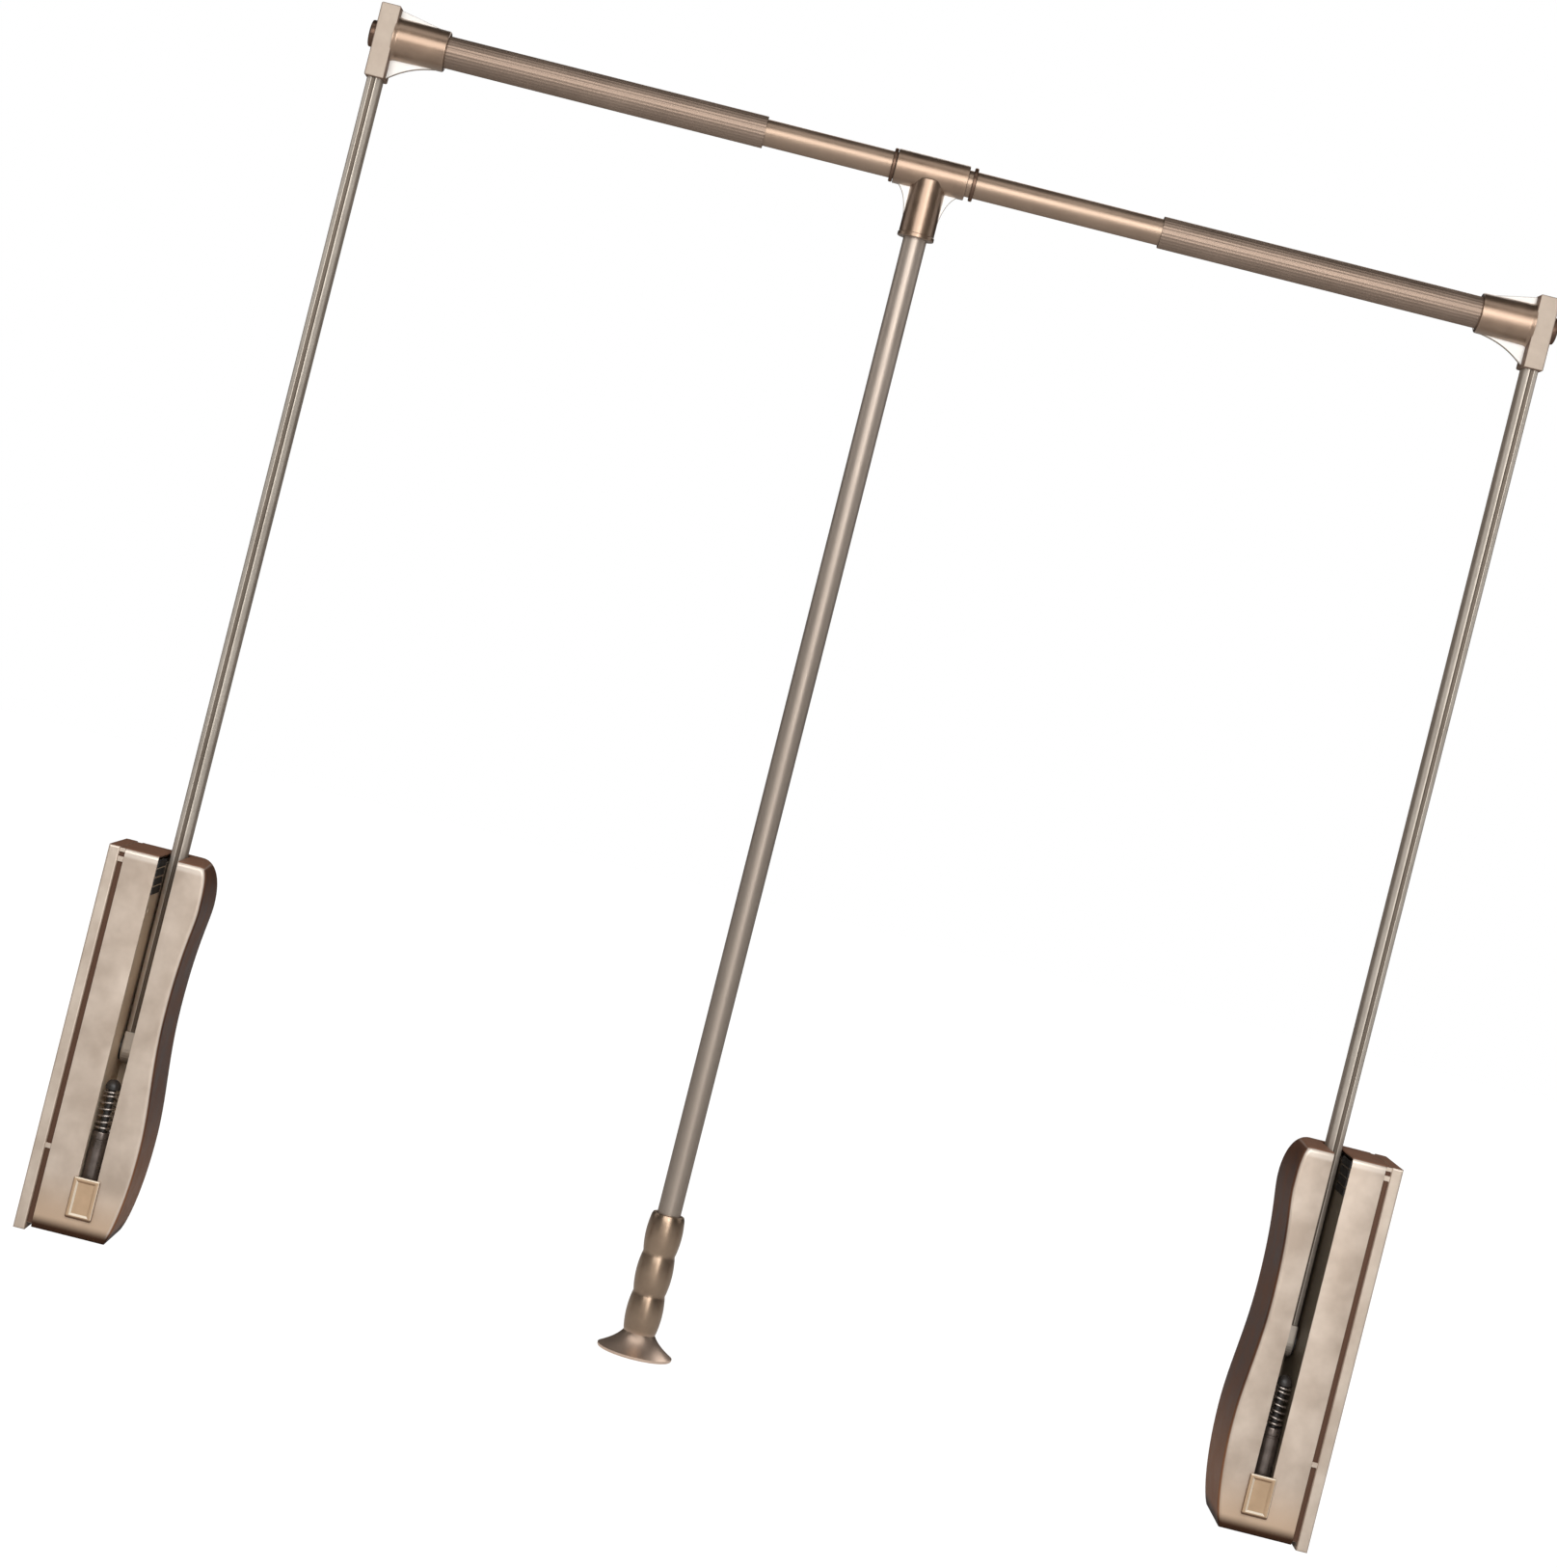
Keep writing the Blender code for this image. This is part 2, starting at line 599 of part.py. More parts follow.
def pivot_bush(name, side):
    # A flanged bush in a cheek: the flange spaces the hub, the sleeve lines the hole
    bore = SHAFT_RADIUS + GAP
    sleeve = bore + BUSH_WALL
    inside, flange = ARM_WIDTH / 2 + GAP, SLOT_WIDTH / 2 - GAP
    end = SLOT_WIDTH / 2 + CHEEK
    profile = [(bore, end), (sleeve, end), (sleeve, flange), (BUSH_FLANGE_RADIUS, flange),
               (BUSH_FLANGE_RADIUS, inside), (bore, inside)]
    turn = Matrix.Rotation(math.pi if side < 0 else 0, 4, "X")
    return keep(turned(name, profile, on_pivot() @ turn, closed=True, steps=SMALL_STEPS), NYLON)


def spring_drum():
    bore = SHAFT_RADIUS + GAP
    low = PLATE_THICK + SHAFT_CLEAR_OF_PLATE - ARM_FROM_WALL
    high = -SLOT_WIDTH / 2 - CHEEK - GAP
    flange = high - DRUM_FLANGE
    profile = [(bore, high), (DRUM_FLANGE_RADIUS, high), (DRUM_FLANGE_RADIUS, flange),
               (DRUM_RADIUS, flange), (DRUM_RADIUS, low), (bore, low)]
    return keep(turned("left_spring_drum", profile, on_pivot(), closed=True), STEEL)


def wire(name, points, diameter, look, origin):
    curve = bpy.data.curves.new(name, "CURVE")
    curve.dimensions = "3D"
    curve.bevel_depth = diameter / 2
    curve.bevel_resolution = 1
    curve.use_fill_caps = True
    spline = curve.splines.new("POLY")
    spline.points.add(len(points) - 1)
    for point, place in zip(spline.points, points):
        point.co = (*(Vector(place) - origin), 1)
    obj = bpy.data.objects.new(name, curve)
    obj.location = origin
    report_least_gap(name, points, diameter)
    return keep(obj, look)


def report_least_gap(name, points, diameter):
    # Distance between turns, measured on points a good half turn or more apart
    places = np.array(points)
    apart = np.linalg.norm(places[:, None] - places[None, :], axis=2)
    order = np.arange(len(places))
    far = np.abs(order[:, None] - order[None, :]) > COIL_POINTS * SAME_TURN_SHARE
    print(f"{name}: least gap to itself {1000 * (apart[far].min() - diameter):.2f} mm")


def torsion_spring():
    # The coil starts at the drum's flange, winds towards the plate and ends in a straight leg
    start = OUTER_CHEEK - GAP - DRUM_FLANGE - GAP - TORSION_WIRE / 2
    points = []
    count = TORSION_TURNS * COIL_POINTS
    for i in range(count + 1):
        turn = math.pi - 2 * math.pi * (i - count) / COIL_POINTS
        reach = start - TORSION_PITCH * i / COIL_POINTS
        points.append((from_wall(reach), ARM_Y + TORSION_RADIUS * math.cos(turn),
                       PIVOT_HEIGHT + TORSION_RADIUS * math.sin(turn)))
    x, y, z = points[-1]
    points.append((x, y, z + TORSION_LEG))
    return wire("left_torsion_spring", points, TORSION_WIRE, STEEL, PIVOT)


def arm_hub():
    half = ARM_DEPTH / 2
    arc = [(half * math.cos(a), -half * math.sin(a))
           for a in (math.pi * i / (2 * ARC_STEPS) for i in range(2 * ARC_STEPS + 1))]
    outline = [(half, HUB_SHOULDER)] + arc + [(-half, HUB_SHOULDER)]
    stand = Matrix.Translation(PIVOT) @ SEEN_FROM_SIDE
    hub = piece("left_arm_hub", outline_mesh([outline], ARM_WIDTH, stand, ARM_WALL), BRONZE, PIVOT)
    inset = 2 * (ARM_WALL + GAP)
    spigot = oval(ARM_WIDTH - inset, ARM_DEPTH - inset)
    shoulder = PIVOT_HEIGHT + HUB_SHOULDER
    join(hub, upright_mesh([spigot], shoulder - LAP, shoulder + HUB_SPIGOT))
    bore = SHAFT_RADIUS + GAP
    reach = ARM_WIDTH / 2 + LAP
    cut(hub, posts_mesh([(ARM_Y, PIVOT_HEIGHT)], bore, ARM_FROM_WALL - reach, ARM_FROM_WALL + reach))
    return hub


def arm_tube():
    low = PIVOT_HEIGHT + HUB_SHOULDER + GAP
    high = BAR_Z - ARM_STOP_BELOW - GAP
    inside = 2 * ARM_WALL
    loops = [oval(ARM_WIDTH, ARM_DEPTH), oval(ARM_WIDTH - inside, ARM_DEPTH - inside)]
    return piece("left_arm_tube", upright_mesh(loops, low, high), BRONZE, PIVOT)


def buffer_head_height():
    # The dome's middle lies so that the lowered arm just meets it
    reach = ARM_DEPTH / 2 + GAP + BUFFER_HEAD_RADIUS
    forward = ARM_Y - BUFFER_Y
    return PIVOT_HEIGHT - (reach - forward * math.cos(LIFT_STOP)) / math.sin(LIFT_STOP)


def on_buffer():
    return Matrix.Translation((ARM_X, BUFFER_Y, 0))


def buffer_levels():
    # Underside of the plunger's head, top of the cylinder and its foot on the shelf
    head = buffer_head_height() - BUFFER_HEAD_COLLAR
    foot = SHELF_HEIGHT + SHELF_THICK + GAP
    return head, head - BUFFER_SPRING_LENGTH, foot


def buffer_cylinder():
    head, top, foot = buffer_levels()
    bore = BUFFER_ROD_RADIUS + GAP
    edge = BUFFER_RADIUS / 8
    profile = [(bore, top), (BUFFER_RADIUS - edge, top), (BUFFER_RADIUS, top - edge),
               (BUFFER_RADIUS, foot), (0, foot), (0, foot + BUFFER_FLOOR), (bore, foot + BUFFER_FLOOR)]
    outside = profile[:5]
    inside = profile[5:]
    return keep(turned("left_buffer_cylinder", inside + outside, on_buffer(), steps=SMALL_STEPS), STEEL)


def buffer_plunger():
    head, top, foot = buffer_levels()
    middle = buffer_head_height()
    end = foot + BUFFER_FLOOR + BUFFER_STROKE + GAP
    dome = [(BUFFER_HEAD_RADIUS * math.sin(a), middle + BUFFER_HEAD_RADIUS * math.cos(a))
            for a in (math.pi / 2 * i / ARC_STEPS for i in range(ARC_STEPS + 1))]
    profile = dome + [(BUFFER_HEAD_RADIUS, head), (BUFFER_ROD_RADIUS, head),
                      (BUFFER_ROD_RADIUS, end), (0, end)]
    return keep(turned("left_buffer_plunger", profile, on_buffer(), steps=SMALL_STEPS), NYLON)


def buffer_spring():
    # Closed turns at both ends, and the open turns spread evenly between them
    head, top, foot = buffer_levels()
    low, high = top + GAP + BUFFER_WIRE / 2, head - GAP - BUFFER_WIRE / 2
    end_rise = BUFFER_WIRE + BUFFER_END_TURN_GAP
    middle_rise = (high - low - 2 * end_rise) / (BUFFER_TURNS - 2)
    points = []
    for i in range(BUFFER_TURNS * COIL_POINTS + 1):
        turns = i / COIL_POINTS
        rise = min(turns, 1) * end_rise + max(turns - BUFFER_TURNS + 1, 0) * end_rise
        rise += min(max(turns - 1, 0), BUFFER_TURNS - 2) * middle_rise
        angle = 2 * math.pi * turns
        points.append((ARM_X + BUFFER_SPRING_RADIUS * math.cos(angle),
                       BUFFER_Y + BUFFER_SPRING_RADIUS * math.sin(angle), low + rise))
    return wire("left_buffer_spring", points, BUFFER_WIRE, STEEL, on_buffer().translation)


def on_bar():
    return Matrix.Translation(BAR_END) @ ALONG_X


def corner_connector():
    half, deep = BLOCK_WIDTH / 2, BLOCK_DEPTH / 2
    block = piece("left_corner_connector",
                  box_mesh((ARM_X - half, ARM_Y - deep, BAR_Z - BLOCK_BELOW),
                           (ARM_X + half, ARM_Y + deep, BAR_Z + BLOCK_ABOVE)), CHAMPAGNE, PIVOT)
    bevel_edges(block, BLOCK_EDGE)
    mouth = half + SOCKET_LENGTH
    socket = [(0, mouth), (SOCKET_MOUTH_RADIUS - BLOCK_EDGE, mouth),
              (SOCKET_MOUTH_RADIUS, mouth - BLOCK_EDGE), (SOCKET_RADIUS, half),
              (SOCKET_RADIUS, 0), (0, 0)]
    join(block, turned_mesh(socket, on_bar()))
    # Webs above and below the socket, as flat outlines from the block to the socket
    sunk = SOCKET_MOUTH_RADIUS - LAP / 4
    lower = bezier((half - LAP, LAP - BLOCK_BELOW),
                   (half + SOCKET_LENGTH / 4, -SOCKET_RADIUS * LOWER_WEB_NEAR),
                   (half + SOCKET_LENGTH / 2, -SOCKET_RADIUS * LOWER_WEB_FAR), (mouth - LAP, -sunk))
    lower += [(mouth - LAP, 0), (half - LAP, 0)]
    upper_end = half + SOCKET_LENGTH * UPPER_WEB_SHARE
    upper = [(half - LAP, 0), (upper_end, 0), (upper_end, sunk), (half - LAP, BLOCK_ABOVE - LAP)]
    for web in (lower, upper):
        outline = [(ARM_X + reach, BAR_Z + height) for reach, height in web]
        join(block, outline_mesh([outline], WEB_THICK, BAR_PLANE))
    peg = rod_profile(CONNECTOR_PEG_RADIUS + GAP, -half - LAP, CONNECTOR_PEG + GAP - half)
    cut(block, turned_mesh(peg, on_bar(), steps=SMALL_STEPS))
    pocket = oval(ARM_WIDTH + 2 * GAP, ARM_DEPTH + 2 * GAP)
    cut(block, upright_mesh([pocket], BAR_Z - BLOCK_BELOW - LAP, BAR_Z - ARM_STOP_BELOW))
    bore = rod_profile(OUTER_TUBE_RADIUS + GAP, mouth - socket_depth(), mouth + LAP)
    cut(block, turned_mesh(bore, on_bar()))
    return block


def socket_depth():
    return SOCKET_LENGTH - BLOCK_EDGE


def connector_cap():
    low = -BLOCK_WIDTH / 2 - GAP - CONNECTOR_CAP_THICK
    seat = -BLOCK_WIDTH / 2 - GAP
    rim = CONNECTOR_CAP_RADIUS - CONNECTOR_CAP_EDGE
    peg = seat + CONNECTOR_PEG
    profile = [(0, peg), (CONNECTOR_PEG_RADIUS, peg), (CONNECTOR_PEG_RADIUS, seat),
               (CONNECTOR_CAP_RADIUS, seat), (CONNECTOR_CAP_RADIUS, low + CONNECTOR_CAP_EDGE),
               (rim, low), (0, low)]
    return keep(turned("left_connector_cap", profile, on_bar(), steps=SMALL_STEPS), NYLON)


def outer_tube():
    start = from_wall(SOCKET_MOUTH - socket_depth() + GAP)
    flutes = []
    for i in range(4 * FLUTES):
        angle = math.pi * i / (2 * FLUTES)
        dip = FLUTE_DEPTH * (1 - math.cos(FLUTES * angle)) / 2
        flutes.append(((OUTER_TUBE_RADIUS - dip) * math.cos(angle),
                       (OUTER_TUBE_RADIUS - dip) * math.sin(angle)))
    loops = [flutes, ring_outline(OUTER_TUBE_BORE, TUBE_STEPS)]
    middle = Vector((start + OUTER_TUBE_LENGTH / 2, ARM_Y, BAR_Z))
    tube = outline_mesh(loops, OUTER_TUBE_LENGTH, Matrix.Translation(middle) @ SEEN_FROM_SIDE)
    return piece("left_outer_tube", tube, BRONZE, PIVOT)


def outer_tube_mouth():
    return from_wall(SOCKET_MOUTH - socket_depth() + GAP) + OUTER_TUBE_LENGTH - ARM_X


def tube_guide():
    mouth = outer_tube_mouth()
    profile = tube_profile(INNER_TUBE_RADIUS + GAP, OUTER_TUBE_BORE - GAP, mouth - GUIDE_LENGTH, mouth)
    return keep(turned("left_tube_guide", profile, on_bar(), closed=True), NYLON)


def on_tee():
    return Matrix.Translation(TEE_MIDDLE) @ ALONG_X


def inner_tube():
    half = INNER_TUBE_LENGTH / 2
    profile = tube_profile(INNER_TUBE_RADIUS - INNER_TUBE_WALL, INNER_TUBE_RADIUS, -half, half)
    return keep(turned("inner_tube", profile, on_tee(), closed=True), BRONZE)


def stop_ring(name, low):
    # A ring with a rounded rim on the inner tube
    bore = INNER_TUBE_RADIUS + GAP
    high, edge = low + RING_THICK, RING_THICK / 4
    profile = [(bore, high), (RING_RADIUS - edge, high), (RING_RADIUS, high - edge),
               (RING_RADIUS, low + edge), (RING_RADIUS - edge, low), (bore, low)]
    return keep(turned(name, profile, on_tee(), closed=True), STEEL)


def tee_bush():
    half = TEE_LENGTH / 2
    bore = INNER_TUBE_RADIUS + GAP
    profile = tube_profile(bore, bore + TEE_BUSH_WALL, -half, half)
    return keep(turned("tee_bush", profile, on_tee(), closed=True), NYLON)


def tee_connector():
    half = TEE_LENGTH / 2
    edge = TEE_LIP_PROUD
    profile = [(0, half), (TEE_RADIUS - edge, half), (TEE_RADIUS, half - edge),
               (TEE_RADIUS, edge - half), (TEE_RADIUS - edge, -half), (0, -half)]
    tee = piece("tee_connector", turned_mesh(profile, on_tee()), CHAMPAGNE, TEE_MIDDLE)
    lip = TEE_SOCKET_RADIUS + TEE_LIP_PROUD
    socket = [(0, 0), (TEE_SOCKET_RADIUS, 0), (TEE_SOCKET_RADIUS, TEE_LIP - TEE_SOCKET_DROP),
              (lip, TEE_LIP - TEE_SOCKET_DROP), (lip, -TEE_SOCKET_DROP), (0, -TEE_SOCKET_DROP)]
    stand = Matrix.Translation(TEE_MIDDLE)
    join(tee, turned_mesh(socket, stand))
    # One flat web under the sleeve, hollowed in a curve on both sides of the socket
    web = bezier((TEE_WEB_REACH, -TEE_RADIUS * TEE_WEB_ROOT),
                 (TEE_WEB_REACH * TEE_WEB_CURVE[0], -TEE_RADIUS * TEE_WEB_CURVE[1]),
                 (TEE_SOCKET_RADIUS * TEE_WEB_FOOT[0], -TEE_WEB_DROP * TEE_WEB_FOOT[1]),
                 (TEE_SOCKET_RADIUS - LAP / 4, -TEE_WEB_DROP))
    web += [(-reach, height) for reach, height in reversed(web)]
    outline = [(TEE_MIDDLE.x + reach, BAR_Z + height) for reach, height in web]
    join(tee, outline_mesh([outline], WEB_THICK, BAR_PLANE))
    bush = INNER_TUBE_RADIUS + 2 * GAP + TEE_BUSH_WALL
    bore = rod_profile(bush, -half - LAP, half + LAP)
    rod = rod_profile(ROD_RADIUS + GAP, -TEE_SOCKET_DROP - LAP, rod_top() + GAP - BAR_Z)
    cut(tee, turned_mesh(rod, stand), turned_mesh(bore, on_tee()))
    return tee


def rod_top():
    return BAR_Z - TEE_RADIUS - LAP / 2


def pull_rod():
    low = GRIP_FLARE_TOP + ROD_STOP + GAP - BAR_Z
    profile = tube_profile(ROD_RADIUS - ROD_WALL, ROD_RADIUS, low, rod_top() - BAR_Z)
    stand = Matrix.Translation(TEE_MIDDLE)
    return keep(turned("pull_rod", profile, stand, closed=True, steps=SMALL_STEPS), BRONZE)


def grip():
    # Three barrel swells over a flared foot that is hollow underneath
    bore = ROD_RADIUS + GAP
    profile = [(0, GRIP_FLARE_TOP + ROD_STOP), (bore, GRIP_FLARE_TOP + ROD_STOP), (bore, GRIP_TOP)]
    barrel = (GRIP_TOP - GRIP_FLARE_TOP) / GRIP_BARRELS
    for i in range(GRIP_BARRELS):
        for j in range(BARREL_STEPS):
            share = j / BARREL_STEPS
            swell = GRIP_BULGE * math.sin(math.pi * share) ** GRIP_FULLNESS
            profile.append((GRIP_WAIST_RADIUS + swell, GRIP_TOP - barrel * (i + share)))
    rim = GRIP_FOOT + GRIP_RIM
    tall = GRIP_FLARE_TOP - rim
    flare = GRIP_FLARE_RADIUS - GRIP_WAIST_RADIUS
    slope = [(GRIP_WAIST_RADIUS + flare * (share + share ** 2) / 2, GRIP_FLARE_TOP - tall * share)
             for share in (i / ARC_STEPS for i in range(ARC_STEPS + 1))]
    profile += slope
    under = [(radius - GRIP_SHELL, height - GRIP_RIM) for radius, height in slope[::-2]]
    profile += [(GRIP_FLARE_RADIUS, GRIP_FOOT)] + under + [(0, GRIP_FLARE_TOP - GRIP_RIM)]
    upright = [(radius, height - BAR_Z) for radius, height in profile]
    return keep(turned("grip", upright, Matrix.Translation(TEE_MIDDLE)), CHAMPAGNE)


def mirror_piece(left):
    # The right-hand piece: the finished left one, mirrored across the middle of the rail
    mesh = evaluated_mesh(left)
    mesh.transform(left.matrix_world)
    mesh.transform(Matrix.Scale(-1, 4, (1, 0, 0)))
    mesh.flip_normals()
    name = left.name.replace("left_", "right_")
    origin = Vector((-left.location.x, left.location.y, left.location.z))
    mesh.transform(Matrix.Translation(-origin))
    mesh.name = name
    right = bpy.data.objects.new(name, mesh)
    right.location = origin
    PARTS.objects.link(right)
    return right


def joint_axis(name, place, pieces):
    axis = bpy.data.objects.new(name, None)
    axis.location = place
    axis.empty_display_size = ARM_DEPTH
    PARTS.objects.link(axis)
    for obj in pieces:
        obj.parent = axis
        obj.matrix_parent_inverse = Matrix.Translation(-Vector(place))


def main():
    fixed = [wall_plate(), housing_cover(), slot_cap(), chassis(), stop_bumper(),
             pivot_bush("left_outer_bush", -1), pivot_bush("left_inner_bush", 1),
             torsion_spring(), buffer_cylinder()]
    arm = [pivot_shaft(), spring_drum(), arm_hub(), arm_tube(), corner_connector(),
           connector_cap(), outer_tube(), tube_guide()]
    buffer = [buffer_plunger(), buffer_spring()]
    bpy.context.view_layer.update()
    right_arm = [mirror_piece(obj) for obj in arm]
    right_buffer = [mirror_piece(obj) for obj in buffer]
    for obj in fixed:
        mirror_piece(obj)
    half = TEE_LENGTH / 2
    inner_tube()
    stop_ring("left_stop_ring", -half - GAP - RING_THICK)
    stop_ring("right_stop_ring", half + GAP + TEE_PLAY)
    tee = [tee_bush(), tee_connector(), pull_rod(), grip()]
    mirrored = Vector((-1, 1, 1))
    buffer_foot = on_buffer().translation
    joint_axis("left_lift_axis", PIVOT, arm)
    joint_axis("right_lift_axis", PIVOT * mirrored, right_arm)
    joint_axis("left_buffer_axis", buffer_foot, buffer)
    joint_axis("right_buffer_axis", buffer_foot * mirrored, right_buffer)
    joint_axis("pull_rod_axis", TEE_MIDDLE, tee)


main()
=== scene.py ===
import json
import math

import bmesh
import bpy
from mathutils import Matrix, Vector


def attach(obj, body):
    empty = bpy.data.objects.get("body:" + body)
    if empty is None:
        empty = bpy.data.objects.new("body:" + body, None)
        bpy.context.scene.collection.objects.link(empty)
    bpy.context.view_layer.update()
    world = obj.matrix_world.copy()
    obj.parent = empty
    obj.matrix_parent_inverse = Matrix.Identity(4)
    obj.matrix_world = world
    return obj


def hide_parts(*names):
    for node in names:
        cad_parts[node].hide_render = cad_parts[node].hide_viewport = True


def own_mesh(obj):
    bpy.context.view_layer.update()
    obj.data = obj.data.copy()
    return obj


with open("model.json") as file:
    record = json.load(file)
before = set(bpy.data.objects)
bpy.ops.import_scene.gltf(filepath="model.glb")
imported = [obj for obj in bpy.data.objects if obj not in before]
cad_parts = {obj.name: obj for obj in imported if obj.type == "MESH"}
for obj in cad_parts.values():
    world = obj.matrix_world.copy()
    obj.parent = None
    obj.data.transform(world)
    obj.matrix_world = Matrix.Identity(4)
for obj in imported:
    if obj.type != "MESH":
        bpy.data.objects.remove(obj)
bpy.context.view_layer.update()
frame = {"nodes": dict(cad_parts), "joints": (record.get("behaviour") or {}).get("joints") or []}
nodes = frame["nodes"]
joints = {joint["name"]: joint for joint in frame["joints"]}
pivot = Vector(joints["lift"]["pos_m"])                # left arm's pivot
teeMiddle = Vector(joints["pull_rod_swing"]["pos_m"])  # tee, on the middle line of the bar
armX, armY, barZ = pivot.x, pivot.y, teeMiddle.z
barCorner = Vector((armX, armY, barZ))                 # where the left arm meets the bar
wallX = -0.522                                         # left wall face
acrossAxis = Vector((1, 0, 0))
upAxis = Vector((0, 0, 1))
quarterTurn = math.pi / 2
nearby = 1e-6                                          # points closer than this are one point
collection = bpy.context.scene.collection
print("frame loaded:", len(nodes), "nodes")


# shader node helpers

def feed(tree, node, values):
    # sockets are linked, other values are set
    for label, value in values.items():
        if isinstance(value, bpy.types.NodeSocket):
            tree.links.new(value, node.inputs[label])
        else:
            node.inputs[label].default_value = value


def addNode(tree, kind, values=None, **settings):
    node = tree.nodes.new(kind)
    for key, value in settings.items():
        setattr(node, key, value)
    feed(tree, node, values or {})
    return node


def addNoise(tree, values):
    return addNode(tree, "ShaderNodeTexNoise", values).outputs["Fac"]


def addRamp(tree, values, kind="LINEAR"):
    return addNode(tree, "ShaderNodeMapRange", values, interpolation_type=kind).outputs["Result"]


def addMath(tree, operation, *terms):
    return addNode(tree, "ShaderNodeMath", dict(enumerate(terms)), operation=operation).outputs["Value"]


def partPlace(tree, output="Object"):
    return addNode(tree, "ShaderNodeTexCoord").outputs[output]


def nodeGroup(name, inputs, outputs):
    group = bpy.data.node_groups.new(name, "ShaderNodeTree")
    for label, value in inputs.items():
        kind = "NodeSocketVector" if isinstance(value, tuple) else "NodeSocketFloat"
        socket = group.interface.new_socket(label, in_out="INPUT", socket_type=kind)
        socket.default_value = value
    for label in outputs:
        group.interface.new_socket(label, in_out="OUTPUT", socket_type="NodeSocketFloat")
    return group, group.nodes.new("NodeGroupInput").outputs, group.nodes.new("NodeGroupOutput")


def makeMottle():
    # soft clouds and fine specks of a metallic paint or a rolled metal
    group, start, end = nodeGroup("mottle", {"Scale": 20.0, "Fine": 900.0}, ["Cloud", "Speck"])
    place = partPlace(group)
    cloud = addNoise(group, {"Vector": place, "Scale": start["Scale"], "Detail": 3.0, "Roughness": 0.55})
    speck = addNoise(group, {"Vector": place, "Scale": start["Fine"], "Detail": 1.0})
    spread = addRamp(group, {"Value": cloud, "From Min": 0.32, "From Max": 0.68})
    feed(group, end, {"Cloud": spread, "Speck": speck})
    return group


def makeDrawLines():
    # drawing lines along a tube or a sheet, stretched by the three scales
    group, start, end = nodeGroup("drawLines", {"Stretch": (4.0, 500.0, 500.0)}, ["Line"])
    turn = addNode(group, "ShaderNodeMapping", {"Vector": partPlace(group), "Scale": start["Stretch"]})
    line = addNoise(group, {"Vector": turn.outputs["Vector"], "Scale": 1.0, "Detail": 2.0})
    feed(group, end, {"Line": line})
    return group


def makeEdgeWearAndHighlight():
    # edge wear and painted highlight: a lighter colour along outside edges, broken into patches
    group, start, end = nodeGroup("edgeWearAndHighlight", {"Radius": 0.0008, "Scale": 160.0}, ["Mask"])
    bevel = addNode(group, "ShaderNodeBevel", {"Radius": start["Radius"]}, samples=4)
    flat = addNode(group, "ShaderNodeNewGeometry")
    dot = addNode(group, "ShaderNodeVectorMath", {0: bevel.outputs["Normal"], 1: flat.outputs["Normal"]},
                  operation="DOT_PRODUCT")
    edge = addRamp(group, {"Value": dot.outputs["Value"], "From Min": 0.985, "From Max": 0.86})
    noise = addNoise(group, {"Vector": partPlace(group), "Scale": start["Scale"], "Detail": 2.0})
    patch = addRamp(group, {"Value": noise, "From Min": 0.38, "From Max": 0.62})
    feed(group, end, {"Mask": addMath(group, "MULTIPLY", edge, patch)})
    return group


def makePaintedShadeMask():
    # painted shade: the faces that look to the front keep the pale colour; sides, tops and undersides get a dark
    # colour in place of their shade and dark reflections
    limits = {"Side Start": 0.45, "Side End": 0.75, "Top Start": 0.6, "Top End": 0.85, "Foot Start": 0.3,
              "Foot End": 0.7}
    # painted highlight: the rim output is lighter on edges leaning up or towards +x, as if lit from the upper right
    outwardShare = 0.6
    rimHighlightLean = {"From Min": 0.08, "From Max": 0.35}
    group, start, end = nodeGroup("paintedFrontShade", limits, ["Mask", "RimHighlight", "Up"])
    split = addNode(group, "ShaderNodeSeparateXYZ", {"Vector": partPlace(group, "Normal")}).outputs
    leans = {"Side": addMath(group, "ABSOLUTE", split["X"]), "Top": split["Z"],
             "Foot": addMath(group, "MULTIPLY", split["Z"], -1.0)}
    away = {label: addRamp(group, {"Value": lean, "From Min": start[label + " Start"],
                                   "From Max": start[label + " End"]}, "SMOOTHSTEP")
            for label, lean in leans.items()}
    dark = addMath(group, "MAXIMUM", addMath(group, "MAXIMUM", away["Side"], away["Top"]), away["Foot"])
    outward = addMath(group, "MULTIPLY", split["X"], outwardShare)
    leaning = addMath(group, "MAXIMUM", outward, split["Z"])
    feed(group, end, {"Mask": addMath(group, "SUBTRACT", 1.0, dark), "Up": away["Top"],
                      "RimHighlight": addRamp(group, {"Value": leaning, **rimHighlightLean}, "SMOOTHSTEP")})
    return group


def makePlaceMask():
    # rises from 0 to 1 along the part's depth or height
    group, start, end = nodeGroup("placeMask", {"Low": 0.0, "High": 1.0}, ["Depth", "Height"])
    split = addNode(group, "ShaderNodeSeparateXYZ", {"Vector": partPlace(group)}).outputs
    for label, axis in (("Depth", "Y"), ("Height", "Z")):
        span = {"From Min": start["Low"], "From Max": start["High"]}
        feed(group, end, {label: addRamp(group, {"Value": split[axis], **span}, "SMOOTHSTEP")})
    return group


mottleGroup, lineGroup = makeMottle(), makeDrawLines()
wearAndHighlightGroup, paintedShadeGroup, placeGroup = makeEdgeWearAndHighlight(), makePaintedShadeMask(), makePlaceMask()


def useGroup(tree, group, values=None):
    return addNode(tree, "ShaderNodeGroup", values, node_tree=group).outputs


def mixColor(tree, factor, low, high):
    # inputs 6 and 7 and output 2 of a mix node are its colours
    low, high = ((*color, 1) if isinstance(color, tuple) else color for color in (low, high))
    return addNode(tree, "ShaderNodeMix", {"Factor": factor, 6: low, 7: high}, data_type="RGBA").outputs[2]


